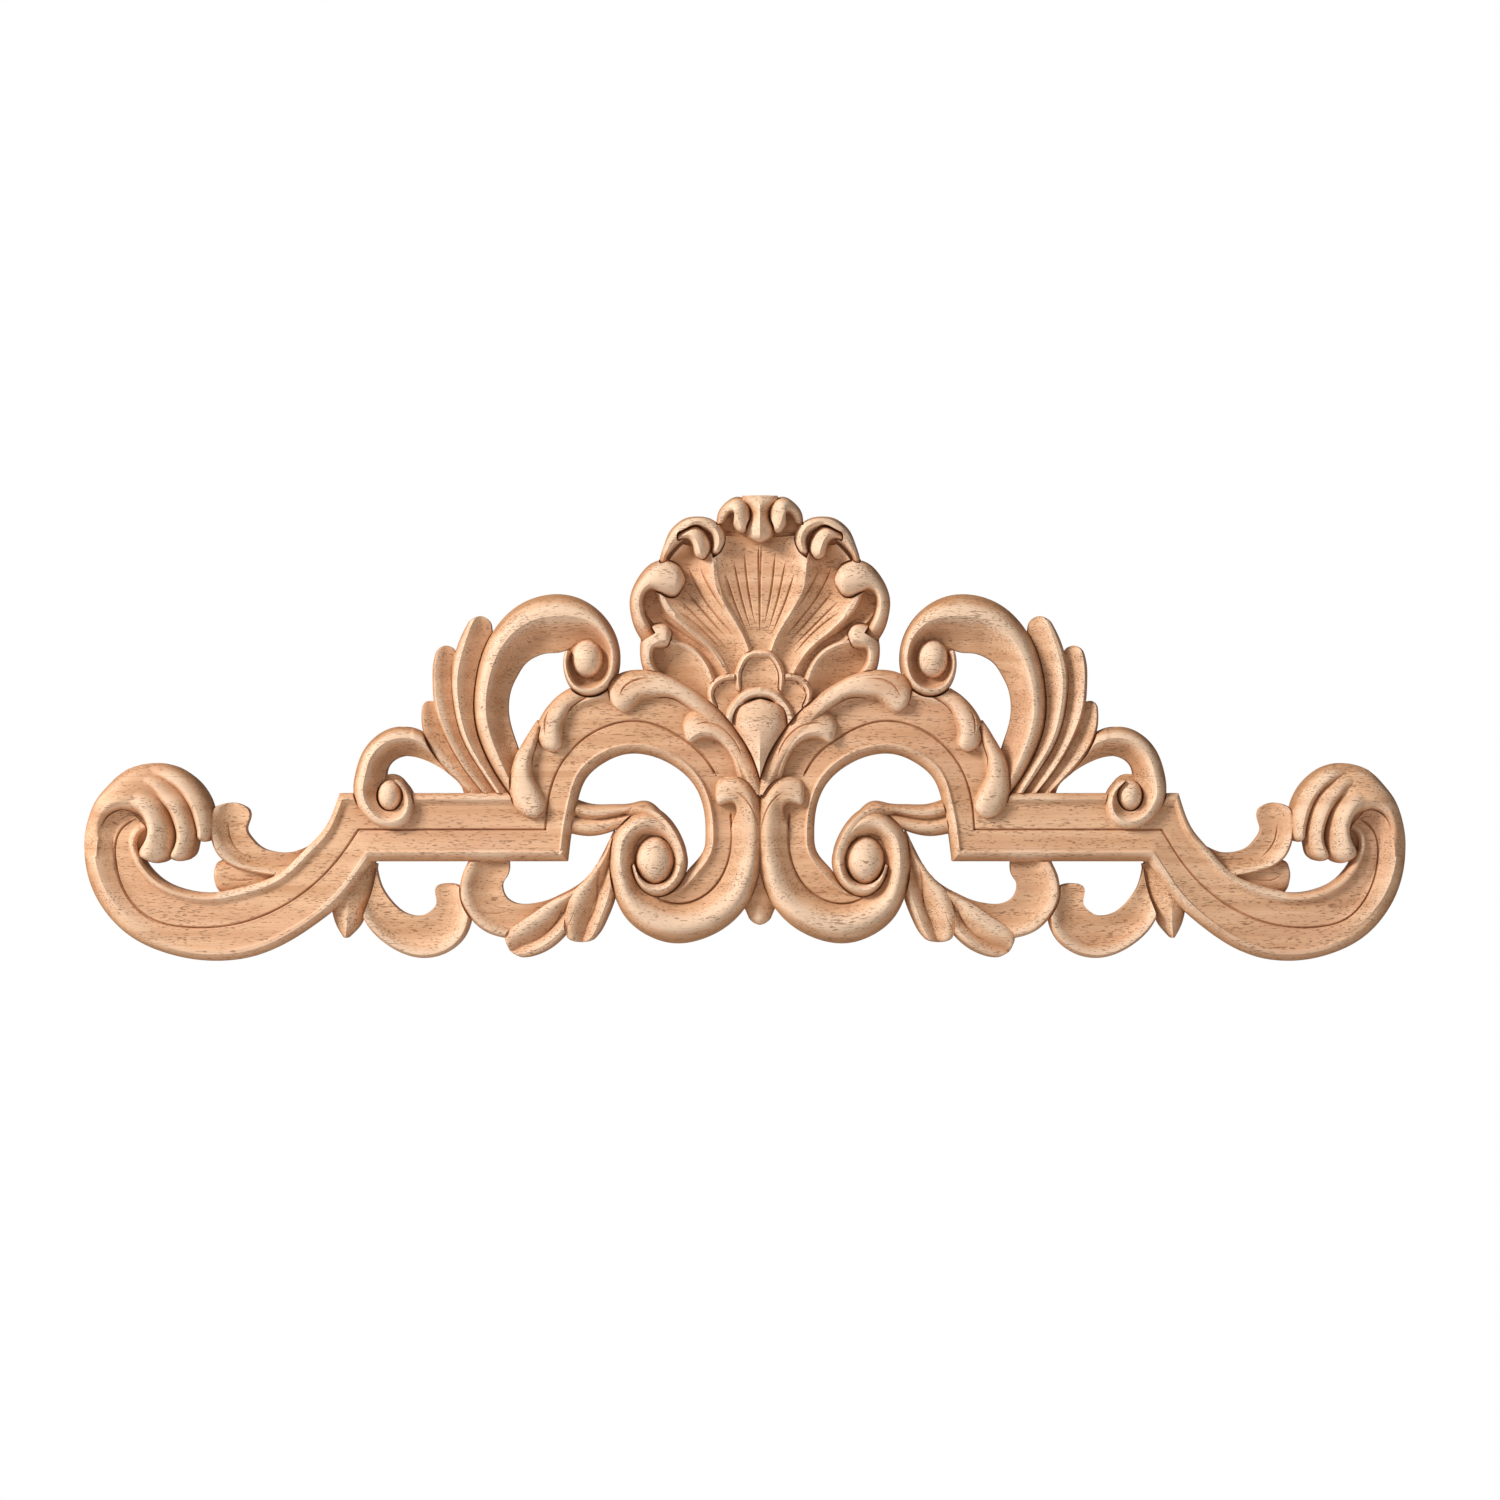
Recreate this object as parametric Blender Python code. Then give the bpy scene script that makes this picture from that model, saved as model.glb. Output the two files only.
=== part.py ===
"""Carved headpiece: one board of pale wood, carved as a shell crest between scrolled mouldings.

The relief is a stack of strips laid over each other, each lofted across its own ribs with a profile.
The left half is drawn; the right half is its mirror image, drawn in a little at the end scroll.
Stations are read off the pattern's squared paper, x to the right and y down, in steps.
Heights are millimetres over the flat back. The origin is on the back, and the front faces -Y.
"""
import bmesh
import bpy
import numpy as np
from mathutils.geometry import delaunay_2d_cdt

OVERALL_WIDTH = 0.600       # m, tip to tip of the end scrolls
PATTERN_WIDTH = 1322.0      # the same on the squared paper, in steps
STEP = OVERALL_WIDTH / PATTERN_WIDTH * 1000
PATTERN_AXIS = 760.0        # the middle line
PATTERN_LEVEL = 728.0       # height of the origin
ALLOWANCE = 0.9             # steps that the saw stays outside the drawn line
BAR_CORNER = 405.0          # steps from the middle line to the outer corner of the bar
RIGHT_END_REACH = 0.889     # length of the right end past that corner, against the left

FLATNESS = 0.65             # mm that a facet may stand off its curve
TOE = 0.35                  # mm, breadth of a step's foot
KEEP_OFF = 1.2 * TOE         # mm, lines this near a later strip give way to its foot
SKIN = 0.10                 # mm, how near an edge still counts as on it
WELD = 0.25                 # mm, closer points are one
LEAST_STEP = 1.6            # mm, lower steps have no foot of their own
SEAM_PITCH = 4.0            # mm between points on the middle line
END_PITCH = 6.0             # mm between points across the end of a strip
HIDING = 0.4                # mm, lines deeper than this under a later strip are left out
GROOVE_WIDTH = 3.4          # steps, width of the incised lines
GROOVE_DEPTH = 1.5          # mm
VALLEY_PLACES = 33          # places across a strip that are tried for a valley
DENSE = 240                 # places that a strip is first laid out at
TINY = 1e-6

BAND_FOOT = 9.5    # mm, back of the moulding's bands
BAND_CREST = 14.5  # mm, lip of the moulding
LEAF_FOOT = 12.0   # mm, where the leaves rise out of the arch
RIM_FOOT = 8.5     # mm, where the shell's rim rises out of its web
EYE_CREST = 18.0   # mm, top of the eyes in the curls

FLOOR = 8.5                       # mm, flat web behind the flutes
RIDGE_FOOT = (12.0, 11.5, 10.0)   # mm, from the rosette out
RIDGE_CREST = (14.5, 15.5, 16.5)  # mm

PETAL_FLOOR = 12.0  # mm
BUD_FOOT = 10.5     # mm
DROP_FOOT = 6.0     # mm

FEATHER_FOOT = 7.0                  # mm
FEATHER_CREST = (11, 13, 13.5, 13)  # mm, tip to bar

HOOK_FOOT = 7.0                      # mm
HOOK_CREST = (11, 12.5, 13, 13, 13)  # mm
BUD_LEAF_FOOT = 5.0                  # mm

ACANTHUS_FOOT = 7.0                            # mm
LOBE_FOOT = 6.0                                # mm
LOBE_CREST = (11, 12.5, 13.5, 13.5, 12.5, 11)  # mm, root to tip

STRAP_CREST = (12, 13, 13, 14)  # mm, arch to volute
END_LEAF_FOOT = 6.5             # mm

WELL_FOOT = 8.0  # mm

# mm, knuckles to bar
SCROLL_CREST = (12, 13.5, 15, 15.5, 15.5, 15.5, 15.3, 15, 14.8, 14.6, 14.5, 14.5, 14.5, 14.5, 14.5)
ARCH_CREST = (14.5, 14.5, 14.5, 14.5, 14, 13)  # mm

ROLL_CREST = (15.5, 15.5, 16, 17, 18, 18, 17, 15, 12.5, 10.5, 9.5)  # mm
KNUCKLE_FOOT = 8.5  # mm

CURL_FOOT = 8.0  # mm
TUCKED_CREST = (13, 14.5, 15.5, 16.5, 17, 17.5, 17.5, 17, 16.5)  # mm

LONG_LEAF_CREST = (16.5, 17.5, 17.5, 17.5, 16.5)  # mm

VOLUTE_FOOT = (13, 13, 11.5, 10, 9.5, 9.5, 9.5, 9.5, 9.5, 9.5, 9.5, 9.5, 9.5)  # mm, leaf tip to eye

OVER, LIFT, CUT = "over", "lift", "cut"

WOOD_COLOUR = (0.72, 0.47, 0.31, 1.0)
WOOD_ROUGHNESS = 0.62
CREASE_ANGLE = 0.6          # rad, sharper edges stay crisp


def spline(values, knots, at):
    """Natural cubic spline through values, which stand at knots, read at the places at."""
    if len(values) == 1:
        return np.repeat(values, len(at), axis=0)
    step = np.diff(knots)
    slope = np.diff(values, axis=0) / step[:, None]
    bend = np.zeros_like(values)
    inner = len(values) - 2
    if inner > 0:
        matrix = np.zeros((inner, inner))
        k = np.arange(inner)
        matrix[k, k] = 2 * (step[:-1] + step[1:])
        matrix[k[:-1], k[1:]] = matrix[k[1:], k[:-1]] = step[1:-1]
        bend[1:-1] = np.linalg.solve(matrix, 6 * np.diff(slope, axis=0))
    span = np.clip(np.searchsorted(knots, at, side="right") - 1, 0, len(values) - 2)
    h = step[span][:, None]
    p = (knots[span + 1] - at)[:, None] / h
    q = 1 - p
    curve = (p ** 3 - p) * bend[span] + (q ** 3 - q) * bend[span + 1]
    return p * values[span] + q * values[span + 1] + curve * h ** 2 / 6


def between(p, q):
    """Points on the way from p to q, at most END_PITCH apart, without p and q."""
    count = int(np.linalg.norm(q - p) / END_PITCH)
    return p + (q - p) * np.linspace(0, 1, count + 2)[1:-1, None]


class Section:
    """Profile across a strip: knots (v, height), v from -1 to 1, a third value marks a crease."""

    def __init__(self, *knots):
        self.v = np.array([k[0] for k in knots], float)
        self.height = np.array([k[1] for k in knots], float)
        self.creases = [k[0] for k in knots if len(k) > 2]
        run = np.diff(self.v)
        rate = np.diff(self.height) / run
        self.leave = np.append(rate, rate[-1])
        self.arrive = np.insert(rate, 0, rate[0])
        for k in range(1, len(knots) - 1):
            if len(knots[k]) == 2:
                before, after = rate[k - 1], rate[k]
                level = 0.0
                if before * after > 0:
                    w1, w2 = 2 * run[k] + run[k - 1], run[k] + 2 * run[k - 1]
                    level = (w1 + w2) / (w1 / before + w2 / after)
                self.leave[k] = self.arrive[k] = level

    def at(self, v, along):
        """Height at the place v across, from 0 at the foot to 1 at the crest."""
        k = np.clip(np.searchsorted(self.v, v, side="right") - 1, 0, len(self.v) - 2)
        run = self.v[k + 1] - self.v[k]
        t = (v - self.v[k]) / run
        ends = (2 * t ** 3 - 3 * t ** 2 + 1) * self.height[k] + (3 * t ** 2 - 2 * t ** 3) * self.height[k + 1]
        turns = (t ** 3 - 2 * t ** 2 + t) * self.leave[k] + (t ** 3 - t ** 2) * self.arrive[k + 1]
        return ends + turns * run


class Round(Section):
    """Half an ellipse that stands on an edge of the given height."""

    def __init__(self, edge):
        self.edge = edge
        self.creases = []

    def at(self, v, along):
        """Height of the half ellipse."""
        return self.edge + (1 - self.edge) * np.sqrt(np.clip(1 - v * v, 0, 1))


class Turning(Section):
    """A profile that turns from one into another between two places along its strip."""

    def __init__(self, first, last, start, end):
        self.first, self.last, self.start, self.end = first, last, start, end
        self.creases = sorted(set(first.creases + last.creases))

    def at(self, v, along):
        """Height of the mixed profile, by the place along the strip."""
        share = np.clip((along - self.start) / (self.end - self.start), 0, 1)
        share = share * share * (3 - 2 * share)
        return (1 - share) * self.first.at(v, along) + share * self.last.at(v, along)


class Strip:
    """A carved form lofted across its ribs, each from a point on one edge to one on the other."""

    def __init__(self, name, section, foot, crest, ribs, caps=(0, 0), points=(0, 0), mode=OVER):
        self.name, self.section, self.mode = name, section, mode
        drawn = np.array(ribs, float)
        across = drawn[:, :2] - drawn[:, 2:]
        across /= np.linalg.norm(across, axis=1)[:, None]
        grow = 0.0 if mode == CUT else ALLOWANCE
        drawn[:, :2] += across * grow
        drawn[:, 2:] -= across * grow
        self.ribs = np.empty_like(drawn)
        self.ribs[:, 0::2] = (drawn[:, 0::2] - PATTERN_AXIS) * STEP
        self.ribs[:, 1::2] = (PATTERN_LEVEL - drawn[:, 1::2]) * STEP
        self.caps = [c * STEP for c in caps]
        self.points = [p * STEP for p in points]
        self.lay_stations(foot, crest)

    def lay_stations(self, foot, crest):
        """Stations where the strip bends, as few as FLATNESS allows, and their heights."""
        moved = np.linalg.norm(np.diff(self.ribs[:, :2], axis=0), axis=1)
        moved += np.linalg.norm(np.diff(self.ribs[:, 2:], axis=0), axis=1)
        knots = np.insert(np.cumsum(moved), 0, 0.0) / moved.sum()
        along = np.linspace(0, 1, DENSE)
        ribs = spline(self.ribs, knots, along)
        middle = (ribs[:, :2] + ribs[:, 2:]) / 2
        run = np.insert(np.cumsum(np.linalg.norm(np.diff(middle, axis=0), axis=1)), 0, 0.0)
        swell = np.ones(DENSE)
        for cap, point, gone in zip(self.caps, self.points, (run, run[-1] - run)):
            if cap:
                swell *= np.sqrt(1 - (1 - np.clip(gone / cap, 0, 1)) ** 2)
            if point:
                swell *= np.clip(gone / point, 0, 1)
        half = (ribs[:, 2:] - ribs[:, :2]) / 2 * swell[:, None]
        edges = np.concatenate([middle - half, middle + half], axis=1)
        low, high = level(foot, knots, along), level(crest, knots, along)
        keep = self.fewest(edges)
        self.a, self.b = edges[keep, :2], edges[keep, 2:]
        self.foot, self.rise, self.along = low[keep], ((high - low) * swell)[keep], along[keep]

    def fewest(self, edges):
        """Which of the dense stations to keep."""
        keep, todo = {0, DENSE - 1}, [(0, DENSE - 1)]
        while todo:
            i, j = todo.pop()
            if j - i < 2:
                continue
            off = np.zeros(j - i - 1)
            for cols in (slice(0, 2), slice(2, 4)):
                chord = edges[j, cols] - edges[i, cols]
                rel = edges[i + 1:j, cols] - edges[i, cols]
                length = max(np.linalg.norm(chord), TINY)
                side = np.abs(rel[:, 0] * chord[1] - rel[:, 1] * chord[0]) / length
                off = np.maximum(off, side if length > TINY else np.linalg.norm(rel, axis=1))
            worst = int(np.argmax(off))
            if off[worst] > FLATNESS:
                k = i + 1 + worst
                keep.add(k)
                todo += [(i, k), (k, j)]
        return np.array(sorted(keep))

    def line(self, v):
        """The line along the strip at the place v of its profile."""
        return self.a * (1 - v) / 2 + self.b * (1 + v) / 2

    def outline(self):
        """The loop of both edges and both ends."""
        loop = np.concatenate([self.a, between(self.a[-1], self.b[-1]), self.b[::-1],
                               between(self.b[0], self.a[0])])
        return loop[np.linalg.norm(loop - np.roll(loop, 1, axis=0), axis=1) > TINY]

    def toe(self):
        """The outline moved out to the foot of the step round the strip."""
        loop = self.outline()
        ahead, behind = np.roll(loop, -1, axis=0) - loop, loop - np.roll(loop, 1, axis=0)
        tangent = (ahead / np.linalg.norm(ahead, axis=1)[:, None]
                   + behind / np.linalg.norm(behind, axis=1)[:, None])
        tangent /= np.linalg.norm(tangent, axis=1)[:, None] + TINY
        turn = np.roll(loop, -1, axis=0)
        side = TOE if np.sum(loop[:, 0] * turn[:, 1] - turn[:, 0] * loop[:, 1]) > 0 else -TOE
        return loop + np.stack([tangent[:, 1], -tangent[:, 0]], axis=1) * side

    def locate(self, points, skin=0.0):
        """Which points lie on the strip, and their foot, rise, v and place along it."""
        found = np.zeros(len(points), bool)
        data = np.zeros((4, len(points)))
        corners = np.concatenate([self.a, self.b])
        low, high = corners.min(0) - skin, corners.max(0) + skin
        near = np.nonzero(((points >= low) & (points <= high)).all(axis=1))[0]
        for i in range(len(self.a) - 1):
            quad = np.stack([self.a[i], self.b[i], self.a[i + 1], self.b[i + 1]])
            box = ((points[near] >= quad.min(0) - skin) & (points[near] <= quad.max(0) + skin)).all(axis=1)
            some = near[box]
            if not len(some):
                continue
            rest = points[some] - quad[0]
            e, g = quad[1] - quad[0], quad[2] - quad[0]
            h = quad[3] - quad[2] - e
            c2, c1 = -cross(h, g), cross(h, rest) - cross(e, g)
            c0 = cross(e, rest)
            if abs(c2) < TINY:
                with np.errstate(divide="ignore", invalid="ignore"):
                    roots = [-c0 / c1]
            else:
                square = c1 * c1 - 4 * c2 * c0
                k = -0.5 * (c1 + np.where(c1 >= 0, 1, -1) * np.sqrt(np.clip(square, 0, None)))
                with np.errstate(divide="ignore", invalid="ignore"):
                    roots = [np.where(square >= 0, r, np.nan) for r in (k / c2, c0 / k)]
            mean = max((np.linalg.norm(g) + np.linalg.norm(quad[3] - quad[1])) / 2, TINY)
            slack = max(skin / mean if i in (0, len(self.a) - 2) else 0.0, TINY)
            for f in roots:
                good = np.isfinite(f) & (f >= -slack) & (f <= 1 + slack)
                f = np.clip(np.where(good, f, 0), 0, 1)
                gap = rest - f[:, None] * g
                rib = e + f[:, None] * h
                width = np.maximum(np.linalg.norm(rib, axis=1), TINY)
                q = (gap * rib).sum(1) / width ** 2
                spare = 2 * skin / np.maximum(width, skin + TINY) + TINY
                good &= (q >= -spare) & (q <= 1 + spare) & (np.abs(cross(gap, rib)) / width <= skin + TINY)
                hit, part = some[good], f[good]
                found[hit] = True
                for row, value in enumerate((self.foot, self.rise, None, self.along)):
                    data[row, hit] = (np.clip(2 * q[good] - 1, -1, 1) if value is None
                                      else value[i] + part * (value[i + 1] - value[i]))
        return found, data


def cross(p, q):
    """The cross product of vectors in the plane."""
    return p[..., 0] * q[..., 1] - p[..., 1] * q[..., 0]


def level(heights, knots, along):
    """Heights at the stations, from one value, one for each rib, or several spread evenly."""
    values = np.atleast_1d(np.array(heights, float))
    places = knots if len(values) == len(knots) else np.linspace(0, 1, len(values))
    return spline(values[:, None], places, along)[:, 0]


def surface(strips, points, skin=0.0):
    """Height of the carving over its back at each point, not a number beside it."""
    height = np.full(len(points), np.nan)
    for strip in strips:
        found, (foot, rise, v, along) = strip.locate(points, skin)
        form = rise * strip.section.at(v, along)
        if strip.mode == CUT:
            found &= np.isfinite(height)
            height[found] -= form[found]
        elif strip.mode == LIFT:
            height[found] = np.fmax(height[found], (foot + form)[found])
        else:
            height[found] = (foot + form)[found]
    return height


CREASE = True
MOULDING = Section((-1, 0.15), (-0.80, 0.88), (-0.755, 1.0), (-0.66, 0.74, CREASE), (-0.09, 0.55, CREASE),
                   (0.0, 0.58), (0.64, 0.50, CREASE), (0.82, 0.90, CREASE), (0.92, 0.84), (1, 0.55))
MOULDING_WIDE = Section((-1, 0.10), (-0.75, 0.72), (-0.56, 1.0, CREASE), (0.10, 0.34, CREASE), (0.18, 0.40),
                        (0.68, 0.46, CREASE), (0.82, 0.88), (0.92, 0.85), (1, 0.5))
ARCH = Section((-1, 0.12), (-0.84, 0.78), (-0.74, 1.0), (-0.64, 0.62, CREASE), (-0.20, 0.50), (1, 0.42))
FILLET = Section((-1, 0.10), (0.14, 0.72), (1, 1.0))
SCROLL = Section((-1, 0.0), (-0.72, 0.66), (-0.42, 0.97), (-0.22, 1.0, CREASE), (0.2, 0.5), (0.62, 0.18),
                 (1, 0.1))
RIM = Section((-1, 0.0), (-0.74, 0.62), (-0.36, 1.0), (0.10, 0.80), (0.60, 0.42), (1, 0.18))
COIL = Section((-1, 0.0), (-0.6, 0.66), (-0.08, 1.0), (0.35, 0.80), (0.75, 0.35), (1, 0.18))
FEATHER = Section((-1, 0.25), (-0.82, 0.85), (-0.62, 1.0), (-0.4, 0.85), (0.3, 0.45), (1, 0.3))
FINGER = Section((-1, 0.10), (-0.65, 0.66), (-0.1, 0.92), (0.32, 1.0), (0.72, 0.78), (1, 0.10))
LEAF = Section((-1, 0.0), (-0.7, 0.62), (-0.2, 0.92), (0.35, 1.0), (0.75, 0.72), (1, 0.1))
BACK = Section((-1, 0.05), (-0.6, 0.66), (0.0, 0.90), (0.55, 1.0), (0.86, 0.72), (1, 0.1))
LOBE = Section((-1, 0.82), (-0.72, 1.0), (0.15, 0.46, CREASE), (0.68, 0.88), (0.86, 0.74), (1, 0.1))
RIDGE = Section((-1, 0.0), (-0.4, 0.75), (0, 1.0), (0.4, 0.75), (1, 0.0))
KEEL = Section((-1, 0.1), (-0.7, 0.62), (0, 1.0, CREASE), (0.7, 0.62), (1, 0.1))
VEE = Section((-1, 0.0), (0, 1.0, CREASE), (1, 0.0))
STRAP = Section((-1, 0.2), (-0.72, 0.8), (-0.45, 1.0), (-0.05, 0.35, CREASE), (0.35, 0.85), (0.65, 0.8),
                (1, 0.1))
HOLLOW = Section((-1, 0.45), (-0.8, 1.0), (-0.2, 0.45), (0.4, 0.25), (1, 0.35))
DISH = Section((-1, 1.0), (-0.5, 0.3), (0, 0.0), (0.5, 0.3), (1, 1.0))
FLUTE = Section((-1, 1.0), (-0.3, 0.3), (0.4, 0.0), (1, 0.0))
FLAT = Section((-1, 1.0), (1, 1.0))
ROLL = Round(0.25)
DOME = Round(0.0)


def carve(name, section, foot, crest, ribs, start=0, end=0, taper_in=0, taper_out=0, mode=OVER):
    """A strip on its ribs, with round ends or pointed ones of the given lengths."""
    return Strip(name, section, foot, crest, ribs, (start, end), (taper_in, taper_out), mode)


def run(name, section, foot, crest, path, **ends):
    """A strip along a middle line with rows x, y and width."""
    middle = np.array(path, float)
    heading = np.gradient(middle[:, :2], axis=0)
    heading /= np.linalg.norm(heading, axis=1)[:, None]
    side = np.stack([heading[:, 1], -heading[:, 0]], axis=1) * middle[:, 2:] / 2
    ribs = np.concatenate([middle[:, :2] - side, middle[:, :2] + side], axis=1)
    return carve(name, section, foot, crest, ribs, **ends)


def boss(name, x, y, half_width, half_height, foot, crest):
    """A domed oval."""
    ribs = [(x - half_width, z, x + half_width, z) for z in (y - half_height, y + half_height)]
    return carve(name, DOME, foot, crest, ribs, half_height, half_height)


def incise(path, taper_in=0, taper_out=0):
    """A V groove along a line."""
    places = [(x, y, GROOVE_WIDTH) for x, y in path]
    return run("groove", VEE, 0.0, GROOVE_DEPTH, places, taper_in=taper_in, taper_out=taper_out, mode=CUT)


def shell_floor():
    """The floor of the shell, its hollow flutes and the ridges between them."""
    return [
        carve("shell web", FLAT, FLOOR, FLOOR, [(727, 512, 765, 500), (706, 530, 765, 530),
            (676, 546, 765, 550), (658, 572, 765, 575), (641, 596, 765, 600), (642, 618, 765, 620),
            (650, 640, 765, 642), (649, 660, 765, 662), (656, 682, 765, 690), (720, 720, 765, 725),
            (740, 760, 765, 760), (752, 800, 765, 800), (750, 905, 765, 905)]),
        carve("middle flute", FLUTE, [12, 12, 11.5, 11, 9], [13, 14, 15, 16, 16], [(752, 666, 762, 666),
            (749, 654, 762, 655), (742, 636, 762, 638), (732, 619, 762, 622), (721, 600, 762, 603),
            (714, 578, 762, 580), (712.5, 558, 762, 560), (716, 536, 762, 538)]),
        carve("second flute", DISH, [11.5, 11, 10.5, 10, 8.5, 8.5], [14, 15, 15.5, 15.5, 14, 12],
            [(738, 688, 754, 667), (728, 677, 749, 654), (714, 654, 742, 636), (700, 640, 732, 619),
            (683, 626, 721, 600), (669, 610, 714, 582), (664, 596, 712.5, 565), (668, 566, 712, 556),
            (684, 545, 710, 548)]),
        carve("third flute", DISH, [11, 10.5, 10, 9, 8, 8], [13.5, 14.5, 15, 15, 12, 9],
            [(724, 696, 737, 688), (713, 684, 728, 677), (705, 665, 716, 657), (695, 652, 703, 643),
            (682, 645, 688, 631), (668, 634, 674, 617), (654, 622, 664, 601), (646, 612, 655, 591)]),
        carve("fourth flute", FLUTE, [11, 9, 8], [13.5, 14.5, 14], [(725, 696, 716, 710),
            (713, 684, 704, 699), (706, 667, 685, 694), (696, 653, 669, 683), (684, 646, 658, 673),
            (670, 642, 654, 660)]),
        run("first ridge", RIDGE, RIDGE_FOOT, RIDGE_CREST, [(750.5, 656, 5), (747, 645, 6), (740, 629, 6.5),
            (729, 610, 7), (720, 592, 7.5), (715.5, 573, 8), (714, 552, 8)], mode=LIFT),
        run("second ridge", RIDGE, RIDGE_FOOT, [14.2, 15, 15.5], [(729.5, 680, 5), (724.5, 667, 5.5),
            (716.5, 654, 6), (704, 641, 6.5), (689, 629, 7), (675, 616, 7.5), (665, 602, 8), (660, 590, 8)],
            mode=LIFT),
        run("third ridge", RIDGE, RIDGE_FOOT, [14, 14.6, 14.5], [(714.5, 687, 4.5), (711, 675, 5),
            (705, 663, 5.5), (696, 653, 6), (684, 646, 6.5), (670, 642, 7)], mode=LIFT),
    ]


def rosette():
    """The two petals, the collar and the pointed bud under the shell, with the drop below."""
    return [
        carve("side petal", DISH, PETAL_FLOOR, [14.5, 14.5], [(726, 718, 750, 690), (715, 706, 743, 678),
            (710.5, 697, 731, 675)], end=3),
        run("side petal lip", ROLL, 11.5, [15, 15.8, 15.8], [(717, 709, 4.5), (711.5, 699, 5),
            (711.5, 690, 5), (717, 682, 5), (727, 677.5, 5), (737, 678, 5), (742, 682, 5)], start=6, end=5),
        carve("top petal", DISH, PETAL_FLOOR, [14.5, 15], [(739, 694, 781, 694), (738.5, 674, 783.5, 674),
            (743, 661, 777, 661), (748, 654, 772, 654)], end=3),
        run("top petal lip", ROLL, 12, [15.2, 16.2, 16.2], [(739.5, 692, 4.5), (738.5, 684, 5),
            (738.5, 674, 5), (741.5, 665, 5), (746, 658, 5), (752, 654.2, 5), (760, 653.5, 5),
            (765, 653.5, 5)], start=5),
        run("collar", ROLL, 12.5, 17.5, [(728.5, 726, 6.5), (731, 713, 7.5), (737, 702.5, 7.5),
            (746, 694.5, 7.5), (756, 691.3, 7.5), (765, 691, 7.5)]),
        carve("bud", Turning(DOME, KEEL, 0.25, 0.6), BUD_FOOT, [17, 20, 20, 18], [(752, 699, 770, 699),
            (738, 708, 784, 708), (733.5, 722, 788, 722), (736, 736, 785, 736), (742, 752, 779, 752),
            (752, 775, 769, 775), (760, 797, 763, 797)], start=9),
        carve("drop", DOME, DROP_FOOT, 11, [(739, 850, 783, 850), (739, 885, 783, 885),
            (743, 903, 781, 903), (748, 914, 777, 914), (752, 925.5, 773, 925.5)], end=8),
    ]


def feather_fan():
    """The three feathers over the bar, and the arm of the small curl that runs in under them."""
    return [
        carve("arm of the small curl", SCROLL, 8, [12, 14, 15.3, 16, 16.5], [(466, 776, 469, 794),
            (441, 750, 448.5, 773), (423, 733, 428.5, 760.8), (400, 727.5, 408, 755.5),
            (380, 734.3, 394, 759)]),
        carve("feather foot", FLAT, 8, 8, [(448, 772, 520, 756), (462, 786, 520, 780),
            (466, 800, 520, 800)]),
        carve("first feather", FEATHER, FEATHER_FOOT, [10, 12, 12, 12], [(423.3, 701, 435, 700.5),
            (422.4, 722, 438, 715), (429, 745, 448, 735), (443, 765, 464, 757), (466, 789, 480, 782),
            (482, 806, 494, 801)], start=6),
        carve("second feather", FEATHER, FEATHER_FOOT, FEATHER_CREST, [(439, 645.5, 453, 645.5),
            (434, 664, 456, 664), (433.5, 682, 456, 680), (435, 703, 459, 700), (447, 738, 466, 733),
            (468, 773, 482, 766), (483, 792, 495, 787), (494, 806, 505, 802)], start=7),
        carve("third feather", FEATHER, FEATHER_FOOT, [12, 14, 14.5, 14], [(473, 615.5, 488.5, 616.5),
            (460.5, 640, 491, 642), (455.7, 655, 488, 657), (453, 672, 482, 673), (455.5, 710, 480, 707),
            (464, 740, 486, 735), (482, 771, 500, 765), (497, 793, 512, 788), (506, 806, 519, 802)],
            start=8),
    ]


def lower_hook():
    """The hook under the end of the bar and the bud leaf beside it."""
    return [
        carve("hook", HOLLOW, HOOK_FOOT, HOOK_CREST, [(352, 868, 374, 860), (357, 890, 377, 877),
            (363, 914, 383, 892.3), (377, 935, 395, 907.3), (400, 951, 407.3, 915.3), (424, 957, 420, 917),
            (448.5, 951, 430.3, 912.3), (464.3, 936, 436.8, 905), (470.5, 918, 436.8, 897),
            (470, 903, 436.3, 889), (464, 886, 443, 882.3)], end=6),
        carve("bud leaf", KEEL, BUD_LEAF_FOOT, [9, 10, 10.5, 9], [(340, 862, 376, 864),
            (333, 888, 371, 890), (331.5, 906, 364, 912), (335.5, 923, 359, 925), (344, 938, 347, 938)]),
    ]


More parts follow.
